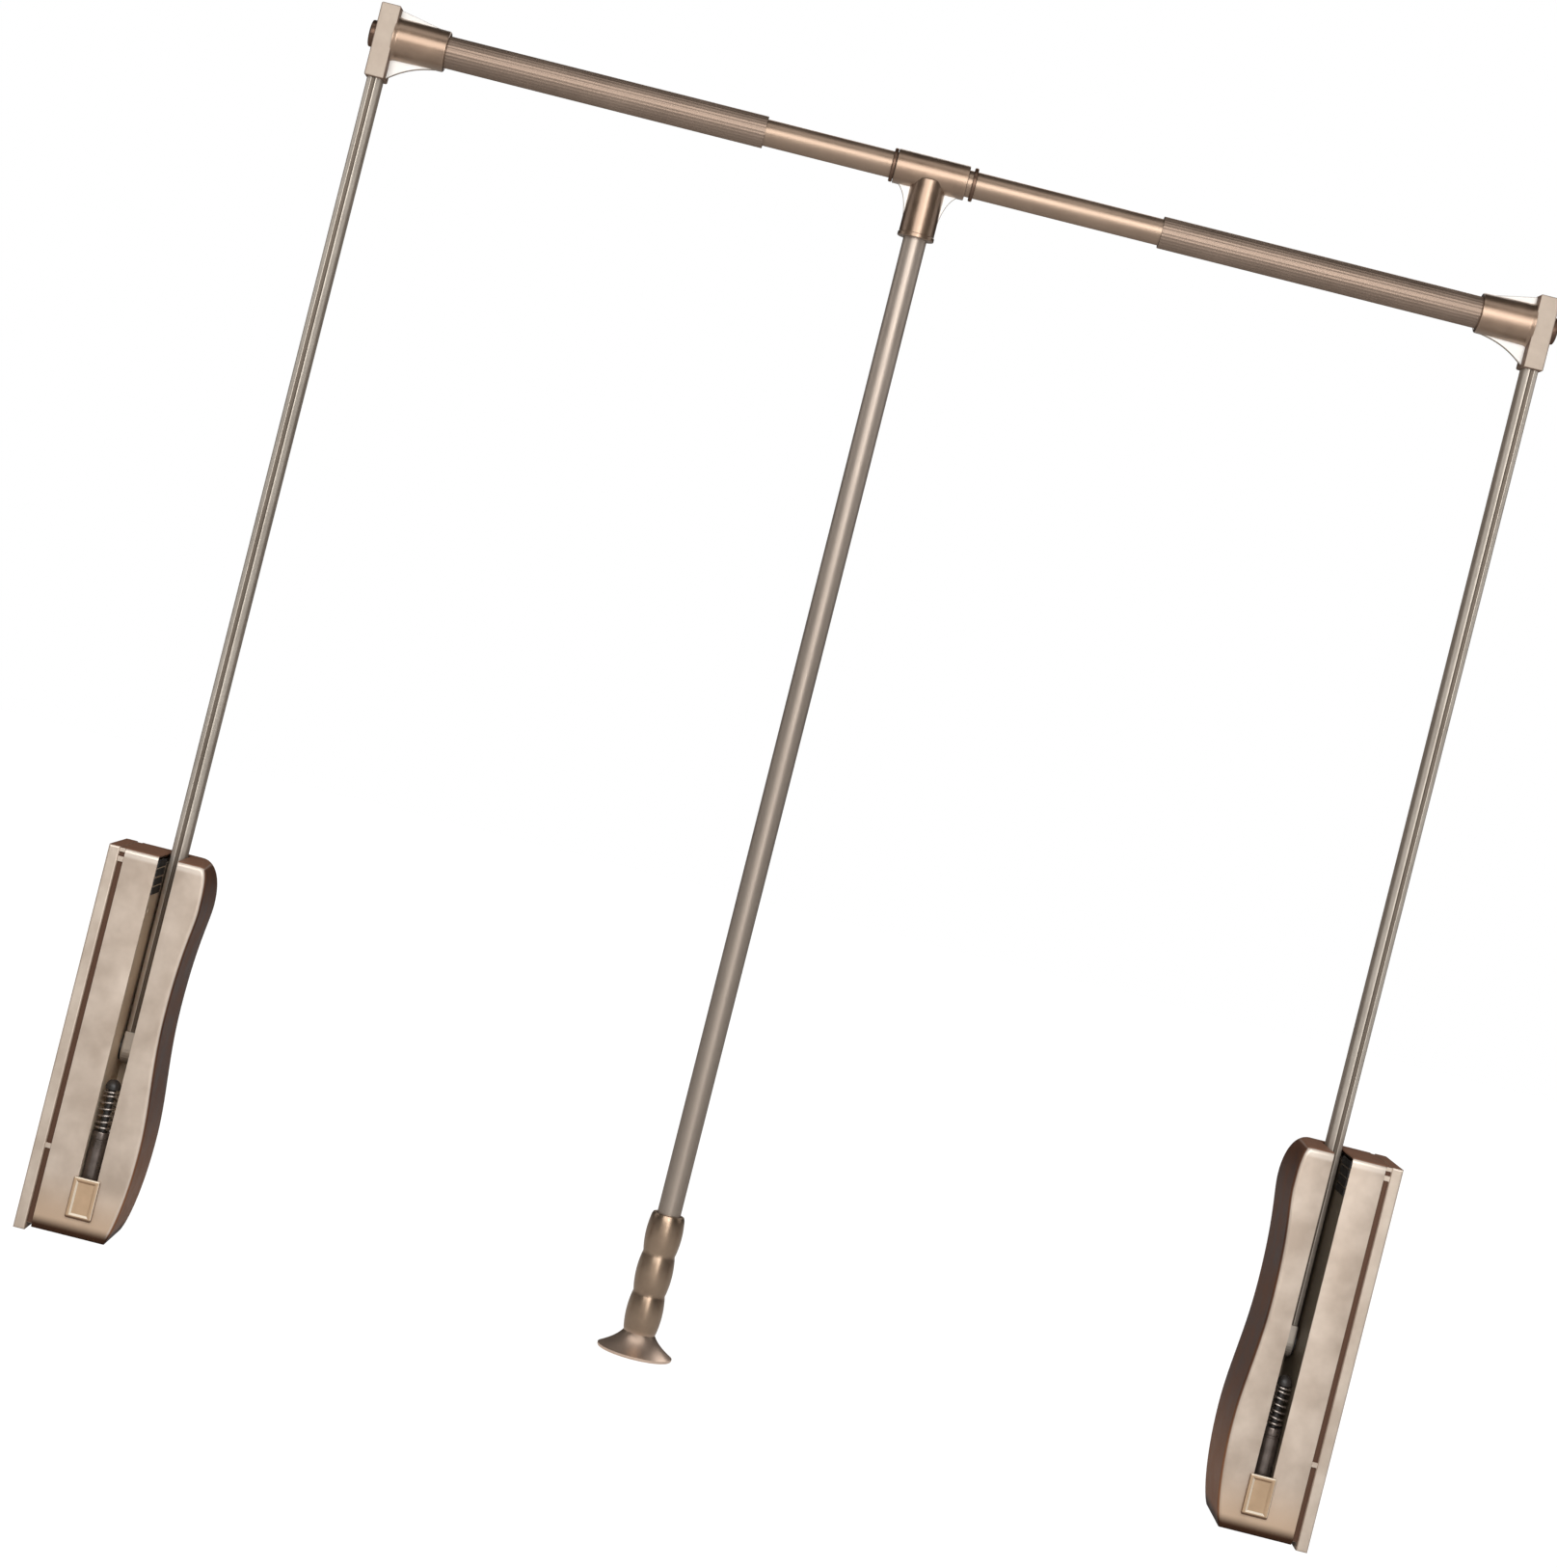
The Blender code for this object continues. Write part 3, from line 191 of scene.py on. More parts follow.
plainFinish = {"clouds": 22.0, "specks": 900.0, "specular": 0.5, "sheen": (1, 1, 1), "coat": 0.0, "coatRough": 0.28,
               "roughSpread": 0.05, "lineTint": 0.25, "wearAndHighlight": 0.6, "bump": 0.15, "bumpDepth": 0.0002,
               "dull": 0.02, "limits": {}}


def makeLook(name, changes):
    finish = {**plainFinish, **changes}
    look = bpy.data.materials.new(name)
    look.use_nodes = True
    tree = look.node_tree

    def along(axis, key):
        low, high = finish[key]
        return useGroup(tree, placeGroup, {"Low": low, "High": high})[axis]

    mottle = useGroup(tree, mottleGroup, {"Scale": finish["clouds"], "Fine": finish["specks"]})
    cloud, relief = mottle["Cloud"], mottle["Speck"]
    shine = {"Specular IOR Level": finish["specular"], "Metallic": finish["metallic"]}
    color = mixColor(tree, cloud, finish["deep"], finish["pale"])
    if "sunk" in finish:  # painted shade in the groove
        color = mixColor(tree, along("Depth", "sunkRange"), color, finish["sunk"])
    if "side" in finish:  # painted shade: faces away from the front get a dark colour
        front = useGroup(tree, paintedShadeGroup, finish["limits"])
        if "warm" in finish:  # warmer low on the front
            color = mixColor(tree, along("Height", "warmRange"), finish["warm"], color)
        if "crestRange" in finish:  # painted highlight along the top of the front
            color = mixColor(tree, along("Height", "crestRange"), color, finish["rim"])
        if "rim" in finish:  # painted highlight where the front rounds off
            color = mixColor(tree, front["RimHighlight"], color, finish["rim"])
        dark = mixColor(tree, cloud, finish["sideShadeDeep"], finish["side"])
        if "sideCopperReflection" in finish:  # painted copper reflection low on the sides
            dark = mixColor(tree, along("Height", "sideCopperReflectionRange"), finish["sideCopperReflection"], dark)
        # painted shade on tops, in a brown of its own
        if "top" in finish:
            dark = mixColor(tree, front["Up"], dark, finish["top"])
        color = mixColor(tree, front["Mask"], dark, color)
        shine = {label: addRamp(tree, {"Value": front["Mask"], "To Min": finish["dull"], "To Max": most})
                 for label, most in shine.items()}
    if "foot" in finish:  # painted light and shade low down: dark feet, a darker lower rod, a lit grip flare
        color = mixColor(tree, along("Height", "footShadeAndLightRange"), finish["foot"], color)
    if "stretch" in finish:
        relief = useGroup(tree, lineGroup, {"Stretch": finish["stretch"]})["Line"]
        tint = addMath(tree, "MULTIPLY", relief, finish["lineTint"])
        color = mixColor(tree, tint, color, finish["deep"])
    # edge wear and painted highlight: lighter patches along outside edges
    if "edge" in finish:
        wornAndLit = addMath(tree, "MULTIPLY", useGroup(tree, wearAndHighlightGroup)["Mask"], finish["wearAndHighlight"])
        color = mixColor(tree, wornAndLit, color, finish["edge"])
    rough = addRamp(tree, {"Value": cloud, "To Min": finish["rough"] - finish["roughSpread"],
                           "To Max": finish["rough"] + finish["roughSpread"]})
    bump = addNode(tree, "ShaderNodeBump", {"Strength": finish["bump"], "Distance": finish["bumpDepth"],
                                            "Height": relief})
    feed(tree, tree.nodes["Principled BSDF"],
         {**shine, "Base Color": color, "Roughness": rough, "Normal": bump.outputs["Normal"],
          "Specular Tint": (*finish["sheen"], 1), "Coat Weight": finish["coat"],
          "Coat Roughness": finish["coatRough"]})
    return look


finishes = {
    # painted shade on the sides, top and foot; painted highlights on the rim and along the top of the front;
    # painted copper reflection low on the sides
    "champagneCover": {"pale": (0.70, 0.585, 0.485), "deep": (0.53, 0.425, 0.34), "side": (0.155, 0.071, 0.040),
                       "sideShadeDeep": (0.085, 0.043, 0.029), "sideCopperReflection": (0.28, 0.13, 0.068),
                       "sideCopperReflectionRange": (0.03, 0.13), "top": (0.27, 0.135, 0.082), "rim": (0.78, 0.675, 0.58),
                       "foot": (0.05, 0.022, 0.011), "footShadeAndLightRange": (0.0065, 0.0155), "warm": (0.63, 0.46, 0.325),
                       "warmRange": (0.008, 0.056), "crestRange": (0.3005, 0.3038), "metallic": 0.35,
                       "rough": 0.38, "clouds": 34.0, "bump": 0.12, "specular": 0.25,
                       "sheen": (0.75, 0.55, 0.47)},
    # painted shade on the sides, top and in the groove; painted highlight on the rim
    "champagnePlate": {"pale": (0.70, 0.595, 0.495), "deep": (0.58, 0.475, 0.385), "side": (0.46, 0.345, 0.265),
                       "sideShadeDeep": (0.38, 0.28, 0.21), "top": (0.27, 0.135, 0.082), "rim": (0.84, 0.74, 0.64),
                       "sunk": (0.12, 0.064, 0.042), "sunkRange": (-0.0393, -0.0388), "metallic": 0.35,
                       "rough": 0.38, "clouds": 38.0, "specular": 0.25, "sheen": (0.75, 0.55, 0.47)},
    # painted shade on the sides and a painted shadow line at the foot; painted highlight on the rim
    "tanCap": {"pale": (0.60, 0.41, 0.255), "deep": (0.51, 0.345, 0.21), "side": (0.22, 0.12, 0.065),
               "sideShadeDeep": (0.16, 0.085, 0.045), "rim": (0.90, 0.78, 0.62), "foot": (0.14, 0.075, 0.042),
               "footShadeAndLightRange": (0.0194, 0.0204), "metallic": 0.3, "rough": 0.40, "clouds": 60.0,
               "limits": {"Side Start": 0.5, "Side End": 0.95, "Top Start": 0.85, "Top End": 1.0}},
    # painted light and shade: a lit copy of this sheet for the left chassis, a shaded copy for the right
    "litBronzeSheet": {"pale": (0.86, 0.72, 0.56), "deep": (0.74, 0.60, 0.45), "metallic": 0.2, "rough": 0.42,
                    "stretch": (500.0, 500.0, 5.0), "bump": 0.06},
    "shadedSheet": {"pale": (0.29, 0.23, 0.165), "deep": (0.23, 0.18, 0.125), "metallic": 0.2, "rough": 0.42,
                    "stretch": (500.0, 500.0, 5.0), "bump": 0.06},
    # painted shade on the arm's flat sides
    "bronzeArm": {"pale": (0.70, 0.625, 0.54), "deep": (0.58, 0.51, 0.435), "side": (0.34, 0.275, 0.22),
                  "sideShadeDeep": (0.27, 0.215, 0.17), "metallic": 0.5, "rough": 0.40,
                  "limits": {"Side Start": 0.8, "Side End": 0.98, "Top Start": 0.9, "Top End": 1.0},
                  "stretch": (600.0, 600.0, 3.0), "bump": 0.02, "sheen": (0.7, 0.58, 0.5)},
    # painted shade in the flute down the arm's front
    "armStripeShade": {"pale": (0.16, 0.128, 0.10), "deep": (0.125, 0.10, 0.078), "metallic": 0.4, "rough": 0.45,
                  "stretch": (600.0, 600.0, 3.0), "bump": 0.02, "sheen": (0.7, 0.58, 0.5)},
    "flutedTube": {"pale": (0.345, 0.256, 0.200), "deep": (0.27, 0.197, 0.152), "metallic": 0.8, "rough": 0.45,
                   "stretch": (3.0, 700.0, 700.0), "lineTint": 0.5, "bump": 0.015, "sheen": (0.7, 0.58, 0.5)},
    "brightTube": {"pale": (0.39, 0.28, 0.205), "deep": (0.32, 0.225, 0.163), "metallic": 0.85, "rough": 0.37,
                   "coat": 0.25, "stretch": (3.0, 600.0, 600.0), "lineTint": 0.2, "bump": 0.03,
                   "sheen": (0.65, 0.5, 0.42)},
    # painted light: the rod darker lower down, lighter towards the top
    "brightRod": {"pale": (0.52, 0.44, 0.375), "deep": (0.45, 0.375, 0.315), "foot": (0.36, 0.30, 0.25),
                  "footShadeAndLightRange": (0.5, 0.98), "metallic": 0.6, "rough": 0.44, "coat": 0.1,
                  "stretch": (600.0, 600.0, 3.0), "lineTint": 0.2, "bump": 0.03, "sheen": (0.65, 0.55, 0.48)},
    "bronzeCasting": {"pale": (0.34, 0.225, 0.15), "deep": (0.27, 0.175, 0.115), "metallic": 0.88, "rough": 0.35,
                      "coat": 1.0, "clouds": 60.0, "specks": 1500.0, "bump": 0.03, "specular": 0.9,
                      "sheen": (0.95, 0.85, 0.75)},
    "darkBronze": {"pale": (0.17, 0.105, 0.075), "deep": (0.12, 0.074, 0.052), "metallic": 0.85, "rough": 0.36,
                   "clouds": 90.0, "sheen": (0.6, 0.42, 0.32)},
    # painted shade on the sides; lighter edges as edge wear and painted highlight
    "paleBlock": {"pale": (0.54, 0.45, 0.37), "deep": (0.46, 0.375, 0.305), "side": (0.27, 0.185, 0.14),
                  "sideShadeDeep": (0.21, 0.14, 0.105), "edge": (0.82, 0.74, 0.65), "metallic": 0.15, "rough": 0.45,
                  "clouds": 70.0, "specular": 0.3, "sheen": (0.75, 0.6, 0.5)},
    # painted reflection: the webs near white; painted shade on their sides
    "webPaintedReflection": {"pale": (0.93, 0.90, 0.86), "deep": (0.88, 0.84, 0.79), "side": (0.34, 0.27, 0.21),
                "sideShadeDeep": (0.28, 0.22, 0.17), "metallic": 0.1, "rough": 0.40, "clouds": 70.0},
    # painted light: a lighter flare at the foot
    "bronzeGrip": {"pale": (0.40, 0.285, 0.195), "deep": (0.32, 0.22, 0.148), "foot": (0.92, 0.69, 0.54),
                   "footShadeAndLightRange": (0.024, 0.034), "metallic": 0.92, "rough": 0.34, "coat": 0.6, "clouds": 45.0,
                   "specks": 1400.0, "bump": 0.008, "specular": 0.8, "sheen": (0.9, 0.8, 0.7)},
    "darkSteel": {"pale": (0.22, 0.18, 0.16), "deep": (0.13, 0.105, 0.09), "metallic": 0.8, "rough": 0.30,
                  "clouds": 80.0},
    "springSteel": {"pale": (0.52, 0.46, 0.41), "deep": (0.33, 0.28, 0.25), "metallic": 0.9, "rough": 0.25,
                    "clouds": 200.0},
    "blackRubber": {"pale": (0.022, 0.018, 0.016), "deep": (0.012, 0.010, 0.009), "metallic": 0.0, "rough": 0.70,
                    "clouds": 120.0, "bump": 0.35},
    "blackNylon": {"pale": (0.040, 0.033, 0.029), "deep": (0.024, 0.020, 0.018), "metallic": 0.0, "rough": 0.42,
                   "clouds": 90.0, "bump": 0.25},
}
looks = {name: makeLook(name, finish) for name, finish in finishes.items()}
print("finishes made:", len(looks))


# camera, lights and floor

camera = {"place": (-0.070, -2.9, 0.5745), "roll": 14.17, "focalPixels": 3793.1, "frameHeight": 1626,
          "sensor": 36.0, "shift": (0.0163, -0.0818), "clip": (0.05, 60)}
eye = bpy.data.cameras.new("photoCamera")
eye.sensor_width = camera["sensor"]
eye.lens = camera["focalPixels"] / camera["frameHeight"] * camera["sensor"]
eye.shift_x, eye.shift_y = camera["shift"]
eye.clip_start, eye.clip_end = camera["clip"]
eyeObject = bpy.data.objects.new("photoCamera", eye)
eyeObject.matrix_world = (Matrix.Translation(camera["place"]) @ Matrix.Rotation(quarterTurn, 4, "X")
                          @ Matrix.Rotation(math.radians(camera["roll"]), 4, "Z"))
collection.objects.link(eyeObject)
bpy.context.scene.camera = eyeObject

studio = {"frontPanel": {"place": (-0.3, -3.5, 1.9), "aim": (0, 0, 0.6), "size": (3.4, 2.4), "power": 90},
          "keyPanel": {"place": (0.6, -3.1, 0.85), "aim": (0, 0, 0.5), "size": (0.7, 2.2), "power": 20.5},
          "topPanel": {"place": (-0.2, -0.9, 3.0), "aim": (0, 0, 0.6), "size": (4.0, 1.0), "power": 13},
          "rearPanel": {"place": (0.5, 2.6, 2.4), "aim": (0, 0, 0.6), "size": (2.4, 1.4), "power": 16},
          "leftPanel": {"place": (-3.4, 0.2, 1.4), "aim": (0, 0, 0.5), "size": (1.6, 1.6), "power": 7},
          "rightPanel": {"place": (3.4, 0.2, 1.4), "aim": (0, 0, 0.5), "size": (1.6, 1.6), "power": 7}}
for name, lamp in studio.items():
    light = bpy.data.lights.new(name, "AREA")
    light.shape = "RECTANGLE"
    light.size, light.size_y = lamp["size"]
    light.energy = lamp["power"]
    lightObject = bpy.data.objects.new(name, light)
    place, aim = Vector(lamp["place"]), Vector(lamp["aim"])
    facing = (aim - place).to_track_quat("-Z", "Y").to_matrix().to_4x4()
    lightObject.matrix_world = Matrix.Translation(place) @ facing
    collection.objects.link(lightObject)

backdrop = {"camera": 1.0, "glossy": 0.04, "transmission": 1.0, "diffuse": 0.09}
floor = {"size": 6, "drop": -0.002, "matt": (0.82, 0.82, 0.82, 1), "glow": 1.12,
         "shares": {"camera": 0.93, "glossy": 0.1, "transmission": 0.93, "diffuse": 0.0}}


def rayStrength(tree, shares):
    # how bright the backdrop is for each kind of ray
    paths = addNode(tree, "ShaderNodeLightPath").outputs
    total = shares["diffuse"]
    for label, key in (("Is Camera Ray", "camera"), ("Is Glossy Ray", "glossy"),
                       ("Is Transmission Ray", "transmission")):
        total = addMath(tree, "MULTIPLY_ADD", paths[label], shares[key] - shares["diffuse"], total)
    return total


world = bpy.data.worlds.new("paleBackdrop")
world.use_nodes = True
bpy.context.scene.world = world
feed(world.node_tree, world.node_tree.nodes["Background"],
     {"Color": (1, 1, 1, 1), "Strength": rayStrength(world.node_tree, backdrop)})

floorShape = bmesh.new()
bmesh.ops.create_grid(floorShape, x_segments=2, y_segments=2, size=floor["size"])
bmesh.ops.translate(floorShape, verts=floorShape.verts, vec=(0, 0, floor["drop"]))
floorMesh = bpy.data.meshes.new("paleFloor")
floorShape.to_mesh(floorMesh)
floorShape.free()
floorLook = bpy.data.materials.new("paleFloor")
floorLook.use_nodes = True
floorTree = floorLook.node_tree
floorTree.nodes.remove(floorTree.nodes["Principled BSDF"])
matt = addNode(floorTree, "ShaderNodeBsdfDiffuse", {"Color": floor["matt"]})
glow = addNode(floorTree, "ShaderNodeEmission", {"Color": (1, 1, 1, 1), "Strength": floor["glow"]})
blend = addNode(floorTree, "ShaderNodeMixShader", {0: rayStrength(floorTree, floor["shares"]),
                                                   1: matt.outputs[0], 2: glow.outputs[0]})
feed(floorTree, floorTree.nodes["Material Output"], {"Surface": blend.outputs[0]})
floorMesh.materials.append(floorLook)
floorObject = bpy.data.objects.new("paleFloor", floorMesh)
collection.objects.link(floorObject)
bpy.context.scene.view_settings.view_transform = "Standard"
print("camera, lights and floor set")


# mesh helpers

def vertsOf(geom):
    return [part for part in geom if isinstance(part, bmesh.types.BMVert)]


def edgesOf(geom):
    return [part for part in geom if isinstance(part, bmesh.types.BMEdge)]


def steps(radius, along, offsets):
    # points of a profile, each a step from the same radius and place
    return [(radius + out, along + rise) for out, rise in offsets]


def collar(bore, radius, start, end, lip):
    # the profile of a sleeve whose two ends have the same lip
    return ([(bore, start)] + steps(radius, start, lip)
            + [(radius + out, end - rise) for out, rise in reversed(lip)] + [(bore, end)])


def spinProfile(profile, middle, axis, count):
    # a profile of (radius, distance along the axis), spun once round; off the axis it is a closed loop
    shape = bmesh.new()
    side = acrossAxis if axis is upAxis else upAxis
    verts = [shape.verts.new(middle + side * radius + axis * along) for radius, along in profile]
    edges = [shape.edges.new(pair) for pair in zip(verts, verts[1:])]
    if profile[0][0] > 0:
        edges.append(shape.edges.new((verts[-1], verts[0])))
    bmesh.ops.spin(shape, geom=verts + edges, cent=middle, axis=axis, angle=2 * math.pi, steps=count,
                   use_merge=True)
    bmesh.ops.remove_doubles(shape, verts=shape.verts, dist=nearby)
    return shape


def softenEdges(shape, edges, width, segments):
    bmesh.ops.bevel(shape, geom=edges, offset=width, offset_type="OFFSET", segments=segments, profile=0.5,
                    affect="EDGES", material=-1, clamp_overlap=True)


def roundedBox(shape, low, high, width, segments):
    low, high = Vector(low), Vector(high)
    box = bmesh.ops.create_cube(shape, size=1)["verts"]
    bmesh.ops.scale(shape, verts=box, vec=high - low)
    bmesh.ops.translate(shape, verts=box, vec=(low + high) / 2)
    corners = set(box)
    softenEdges(shape, [edge for edge in shape.edges if edge.verts[0] in corners], width, segments)


def cutPlane(shape, place, normal, trim=False):
    bmesh.ops.bisect_plane(shape, geom=shape.verts[:] + shape.edges[:] + shape.faces[:], dist=nearby,
                           plane_co=place, plane_no=normal, clear_outer=trim)


def turnOutward(shape, axis):
    # an open sheet's normals, judged by its furthest face along the axis
    bmesh.ops.recalc_face_normals(shape, faces=shape.faces)
    furthest = max(shape.faces, key=lambda face: face.calc_center_median()[axis])
    if furthest.normal[axis] < 0:
        bmesh.ops.reverse_faces(shape, faces=shape.faces)


def fillOutline(shape, points):
    verts = [shape.verts.new(point) for point in points]
    edges = [shape.edges.new(pair) for pair in zip(verts, verts[1:] + verts[:1])]
    return bmesh.ops.edgeloop_fill(shape, edges=edges)["faces"]


def solidOutline(shape, outline, thick):
    # a flat outline in the XZ plane, drawn in the arm's depth, made solid about that plane
    face = fillOutline(shape, [(x, armY - thick / 2, z) for x, z in outline])
    moved = bmesh.ops.extrude_face_region(shape, geom=face)["geom"]
    bmesh.ops.translate(shape, verts=vertsOf(moved), vec=(0, thick, 0))


def drawOut(shape, edges, reach):
    # pulls a ring of edges along, as a tube is drawn
    grown = bmesh.ops.extrude_edge_only(shape, edges=edges)["geom"]
    bmesh.ops.translate(shape, verts=vertsOf(grown), vec=reach)


def bezierWire(knots, resolution):
    # a flat curve through points with their two handles, as a list of points
    curve = bpy.data.curves.new("wire", "CURVE")
    curve.dimensions = "2D"
    curve.resolution_u = resolution
    spline = curve.splines.new("BEZIER")
    spline.bezier_points.add(len(knots) - 1)
    for knot, places in zip(spline.bezier_points, knots):
        knot.handle_left_type = knot.handle_right_type = "FREE"
        knot.co, knot.handle_left, knot.handle_right = ((*place, 0) for place in places)
    guide = bpy.data.objects.new("wire", curve)
    wire = [(vert.co.x, vert.co.y) for vert in guide.to_mesh().vertices]
    guide.to_mesh_clear()
    bpy.data.objects.remove(guide)
    return wire


def newPiece(name, shape, materials, body, stands):
    mesh = bpy.data.meshes.new(name)
    shape.to_mesh(mesh)
    shape.free()
    for material in materials:
        mesh.materials.append(material)
    piece = bpy.data.objects.new(name, mesh)
    collection.objects.link(piece)
    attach(piece, body)
    if stands:
        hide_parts(*stands)
    return piece


def addWall(piece, thickness):
    wall = piece.modifiers.new("wall", "SOLIDIFY")
    wall.thickness, wall.offset, wall.use_even_offset, wall.use_rim = thickness, -1, True, True


def addSoftEdges(piece, width, angle):
    soft = piece.modifiers.new("softEdges", "BEVEL")
    soft.width, soft.segments, soft.limit_method, soft.angle_limit = width, 2, "ANGLE", math.radians(angle)


def evenFaces(piece):
    piece.modifiers.new("evenFaces", "WEIGHTED_NORMAL").keep_sharp = True


def placePiece(name, shape, body, lookNames, stands=(), sharp=35, solid=True):
    bmesh.ops.remove_doubles(shape, verts=shape.verts, dist=nearby)
    if solid:
        bmesh.ops.recalc_face_normals(shape, faces=shape.faces)
    piece = newPiece(name, shape, [looks[lookName] for lookName in lookNames], body, stands)
    piece.data.shade_smooth()
    piece.data.set_sharp_from_angle(angle=math.radians(sharp))
    if solid:
        evenFaces(piece)
    return piece


copiedSettings = ("thickness", "offset", "use_even_offset", "use_rim", "width", "segments", "limit_method",
                  "angle_limit", "keep_sharp")


def otherSide(piece, name, body, stands=()):
    # the right-hand piece: a mirrored copy with its faces turned back outwards
    shape = bmesh.new()
    shape.from_mesh(piece.data)
    bmesh.ops.scale(shape, verts=shape.verts, vec=(-1, 1, 1))
    bmesh.ops.reverse_faces(shape, faces=shape.faces)
    twin = newPiece(name, shape, piece.data.materials, body, stands)
    for step in piece.modifiers:
        copy = twin.modifiers.new(step.name, step.type)
        for key in copiedSettings:
            if hasattr(step, key):
                setattr(copy, key, getattr(step, key))
    return twin


def bothSides(part, shape, body, lookNames, node, sharp=35):
    left = placePiece("left" + part, shape, "left_" + body, lookNames, ["left_" + node], sharp)
    right = otherSide(left, "right" + part, "right_" + body, ["right_" + node])
    return left, right


# housing covers: a wavy shell with its slot

cover = {"start": 0.0137, "low": 0.003, "high": 0.309, "spare": 0.02, "resolution": 14, "rounding": 0.0035,
         "rings": 5, "margin": 0.0004, "wall": 0.0025, "front": -0.04095, "back": 0.04105, "slotHalf": 0.00775,
         "slotFoot": 0.0215, "slotBack": 0.03365}
coverKnots = [((0.0720, 0.003), (0.0720, 0.003), (0.0770, 0.0125)),
              ((0.0825, 0.083), (0.0825, 0.043), (0.0825, 0.1182)),
              ((0.0758, 0.1886), (0.0758, 0.1442), (0.0758, 0.2422)),
              ((0.0815, 0.275), (0.0815, 0.2603), (0.0815, 0.2947)),
              ((0.0635, 0.309), (0.0752, 0.309), (0.0635, 0.309))]
frontCorner = [((0.0815, 0.275), (0.0815, 0.2603), (0.0815, 0.3030)),
               ((0.0725, 0.309), (0.0795, 0.309), (0.0725, 0.309))]


def coverOutline(knots):
    spare = cover["start"] - cover["spare"]            # cut off again where the shell is open
    wire = bezierWire(knots, cover["resolution"])
    return [(wallX + reach, z) for reach, z in [(spare, cover["low"])] + wire + [(spare, cover["high"])]]


def inSlot(face):
    middle = face.calc_center_median()
    return (abs(middle.x - armX) < cover["slotHalf"] and middle.z > cover["slotFoot"]
            and middle.y < cover["slotBack"])


def coverShell():
    shape = bmesh.new()
    outline, tight = coverOutline(coverKnots), coverOutline(coverKnots[:-2] + frontCorner)
    depth = cover["front"] + cover["rounding"]
    front = fillOutline(shape, [(x, depth, z) for x, z in outline])[0]
    corners = list(front.verts)
    grown = bmesh.ops.extrude_face_region(shape, geom=[front], use_keep_orig=True)["geom"]
    back = next(part for part in grown if isinstance(part, bmesh.types.BMFace))
    bmesh.ops.translate(shape, verts=back.verts, vec=(0, cover["back"] - cover["rounding"] - depth, 0))
    for corner in corners:                             # the front outline has the tighter corner
        pairs = zip(outline, tight)
        moved = min(pairs, key=lambda pair: math.dist(pair[0], (corner.co.x, corner.co.z)))[1]
        corner.co.x, corner.co.z = moved
    for flat, way in ((front, -1), (back, 1)):         # rounded rim, ring by ring
        inward, outward = 0, 0
        for i in range(cover["rings"]):
            turn = quarterTurn * (i + 1) / cover["rings"]
            nextIn, nextOut = cover["rounding"] * (1 - math.cos(turn)), cover["rounding"] * math.sin(turn)
            bmesh.ops.inset_individual(shape, faces=[flat], thickness=nextIn - inward, use_even_offset=True)
            bmesh.ops.translate(shape, verts=flat.verts, vec=(0, way * (nextOut - outward), 0))
            inward, outward = nextIn, nextOut
        bmesh.ops.inset_individual(shape, faces=[flat], thickness=cover["margin"], use_even_offset=True)
    cutPlane(shape, (wallX + cover["start"], 0, 0), (-1, 0, 0), trim=True)
    for slotSide in (-cover["slotHalf"], cover["slotHalf"]):
        cutPlane(shape, (armX + slotSide, 0, 0), (1, 0, 0))
    cutPlane(shape, (0, 0, cover["slotFoot"]), (0, 0, 1))
    cutPlane(shape, (0, cover["slotBack"], 0), (0, 1, 0))
    bmesh.ops.delete(shape, geom=[face for face in shape.faces if inSlot(face)], context="FACES")
    turnOutward(shape, 1)
    return shape


leftCover = placePiece("leftCoverShell", coverShell(), "left_housing", ["champagneCover"],
                       ["left_housing_cover"], solid=False)
addWall(leftCover, cover["wall"])
evenFaces(leftCover)
otherSide(leftCover, "rightCoverShell", "right_housing", ["right_housing_cover"])
print("covers made")


# slot caps: a framed plate with a plug in the slot

slotCap = {"half": 0.0105, "low": 0.0180, "high": 0.051, "proud": 0.003, "seat": 0.0003, "edge": 0.0014,
           "frame": 0.0013, "slope": 0.0016, "sunk": 0.0010, "segments": 4}
capPlug = {"half": 0.00745, "low": 0.0244, "high": 0.045, "front": 0.001, "depth": 0.0027, "edge": 0.0003,
           "segments": 1}
shape = bmesh.new()
roundedBox(shape, (armX - slotCap["half"], cover["front"] - slotCap["proud"], slotCap["low"]),
           (armX + slotCap["half"], cover["front"] - slotCap["seat"], slotCap["high"]), slotCap["edge"],
           slotCap["segments"])
panel = min(shape.faces, key=lambda face: face.calc_center_median().y - face.calc_area())
for key in ("frame", "slope"):
    bmesh.ops.inset_individual(shape, faces=[panel], thickness=slotCap[key], use_even_offset=True)
bmesh.ops.translate(shape, verts=panel.verts, vec=(0, slotCap["sunk"], 0))
roundedBox(shape, (armX - capPlug["half"], cover["front"] - capPlug["front"], capPlug["low"]),
           (armX + capPlug["half"], cover["front"] + capPlug["depth"], capPlug["high"]), capPlug["edge"],
           capPlug["segments"])
bothSides("CapPlate", shape, "housing", ["tanCap"], "slot_cap", sharp=28)


# ribbed lips of the stop bumpers, beside the raised arm

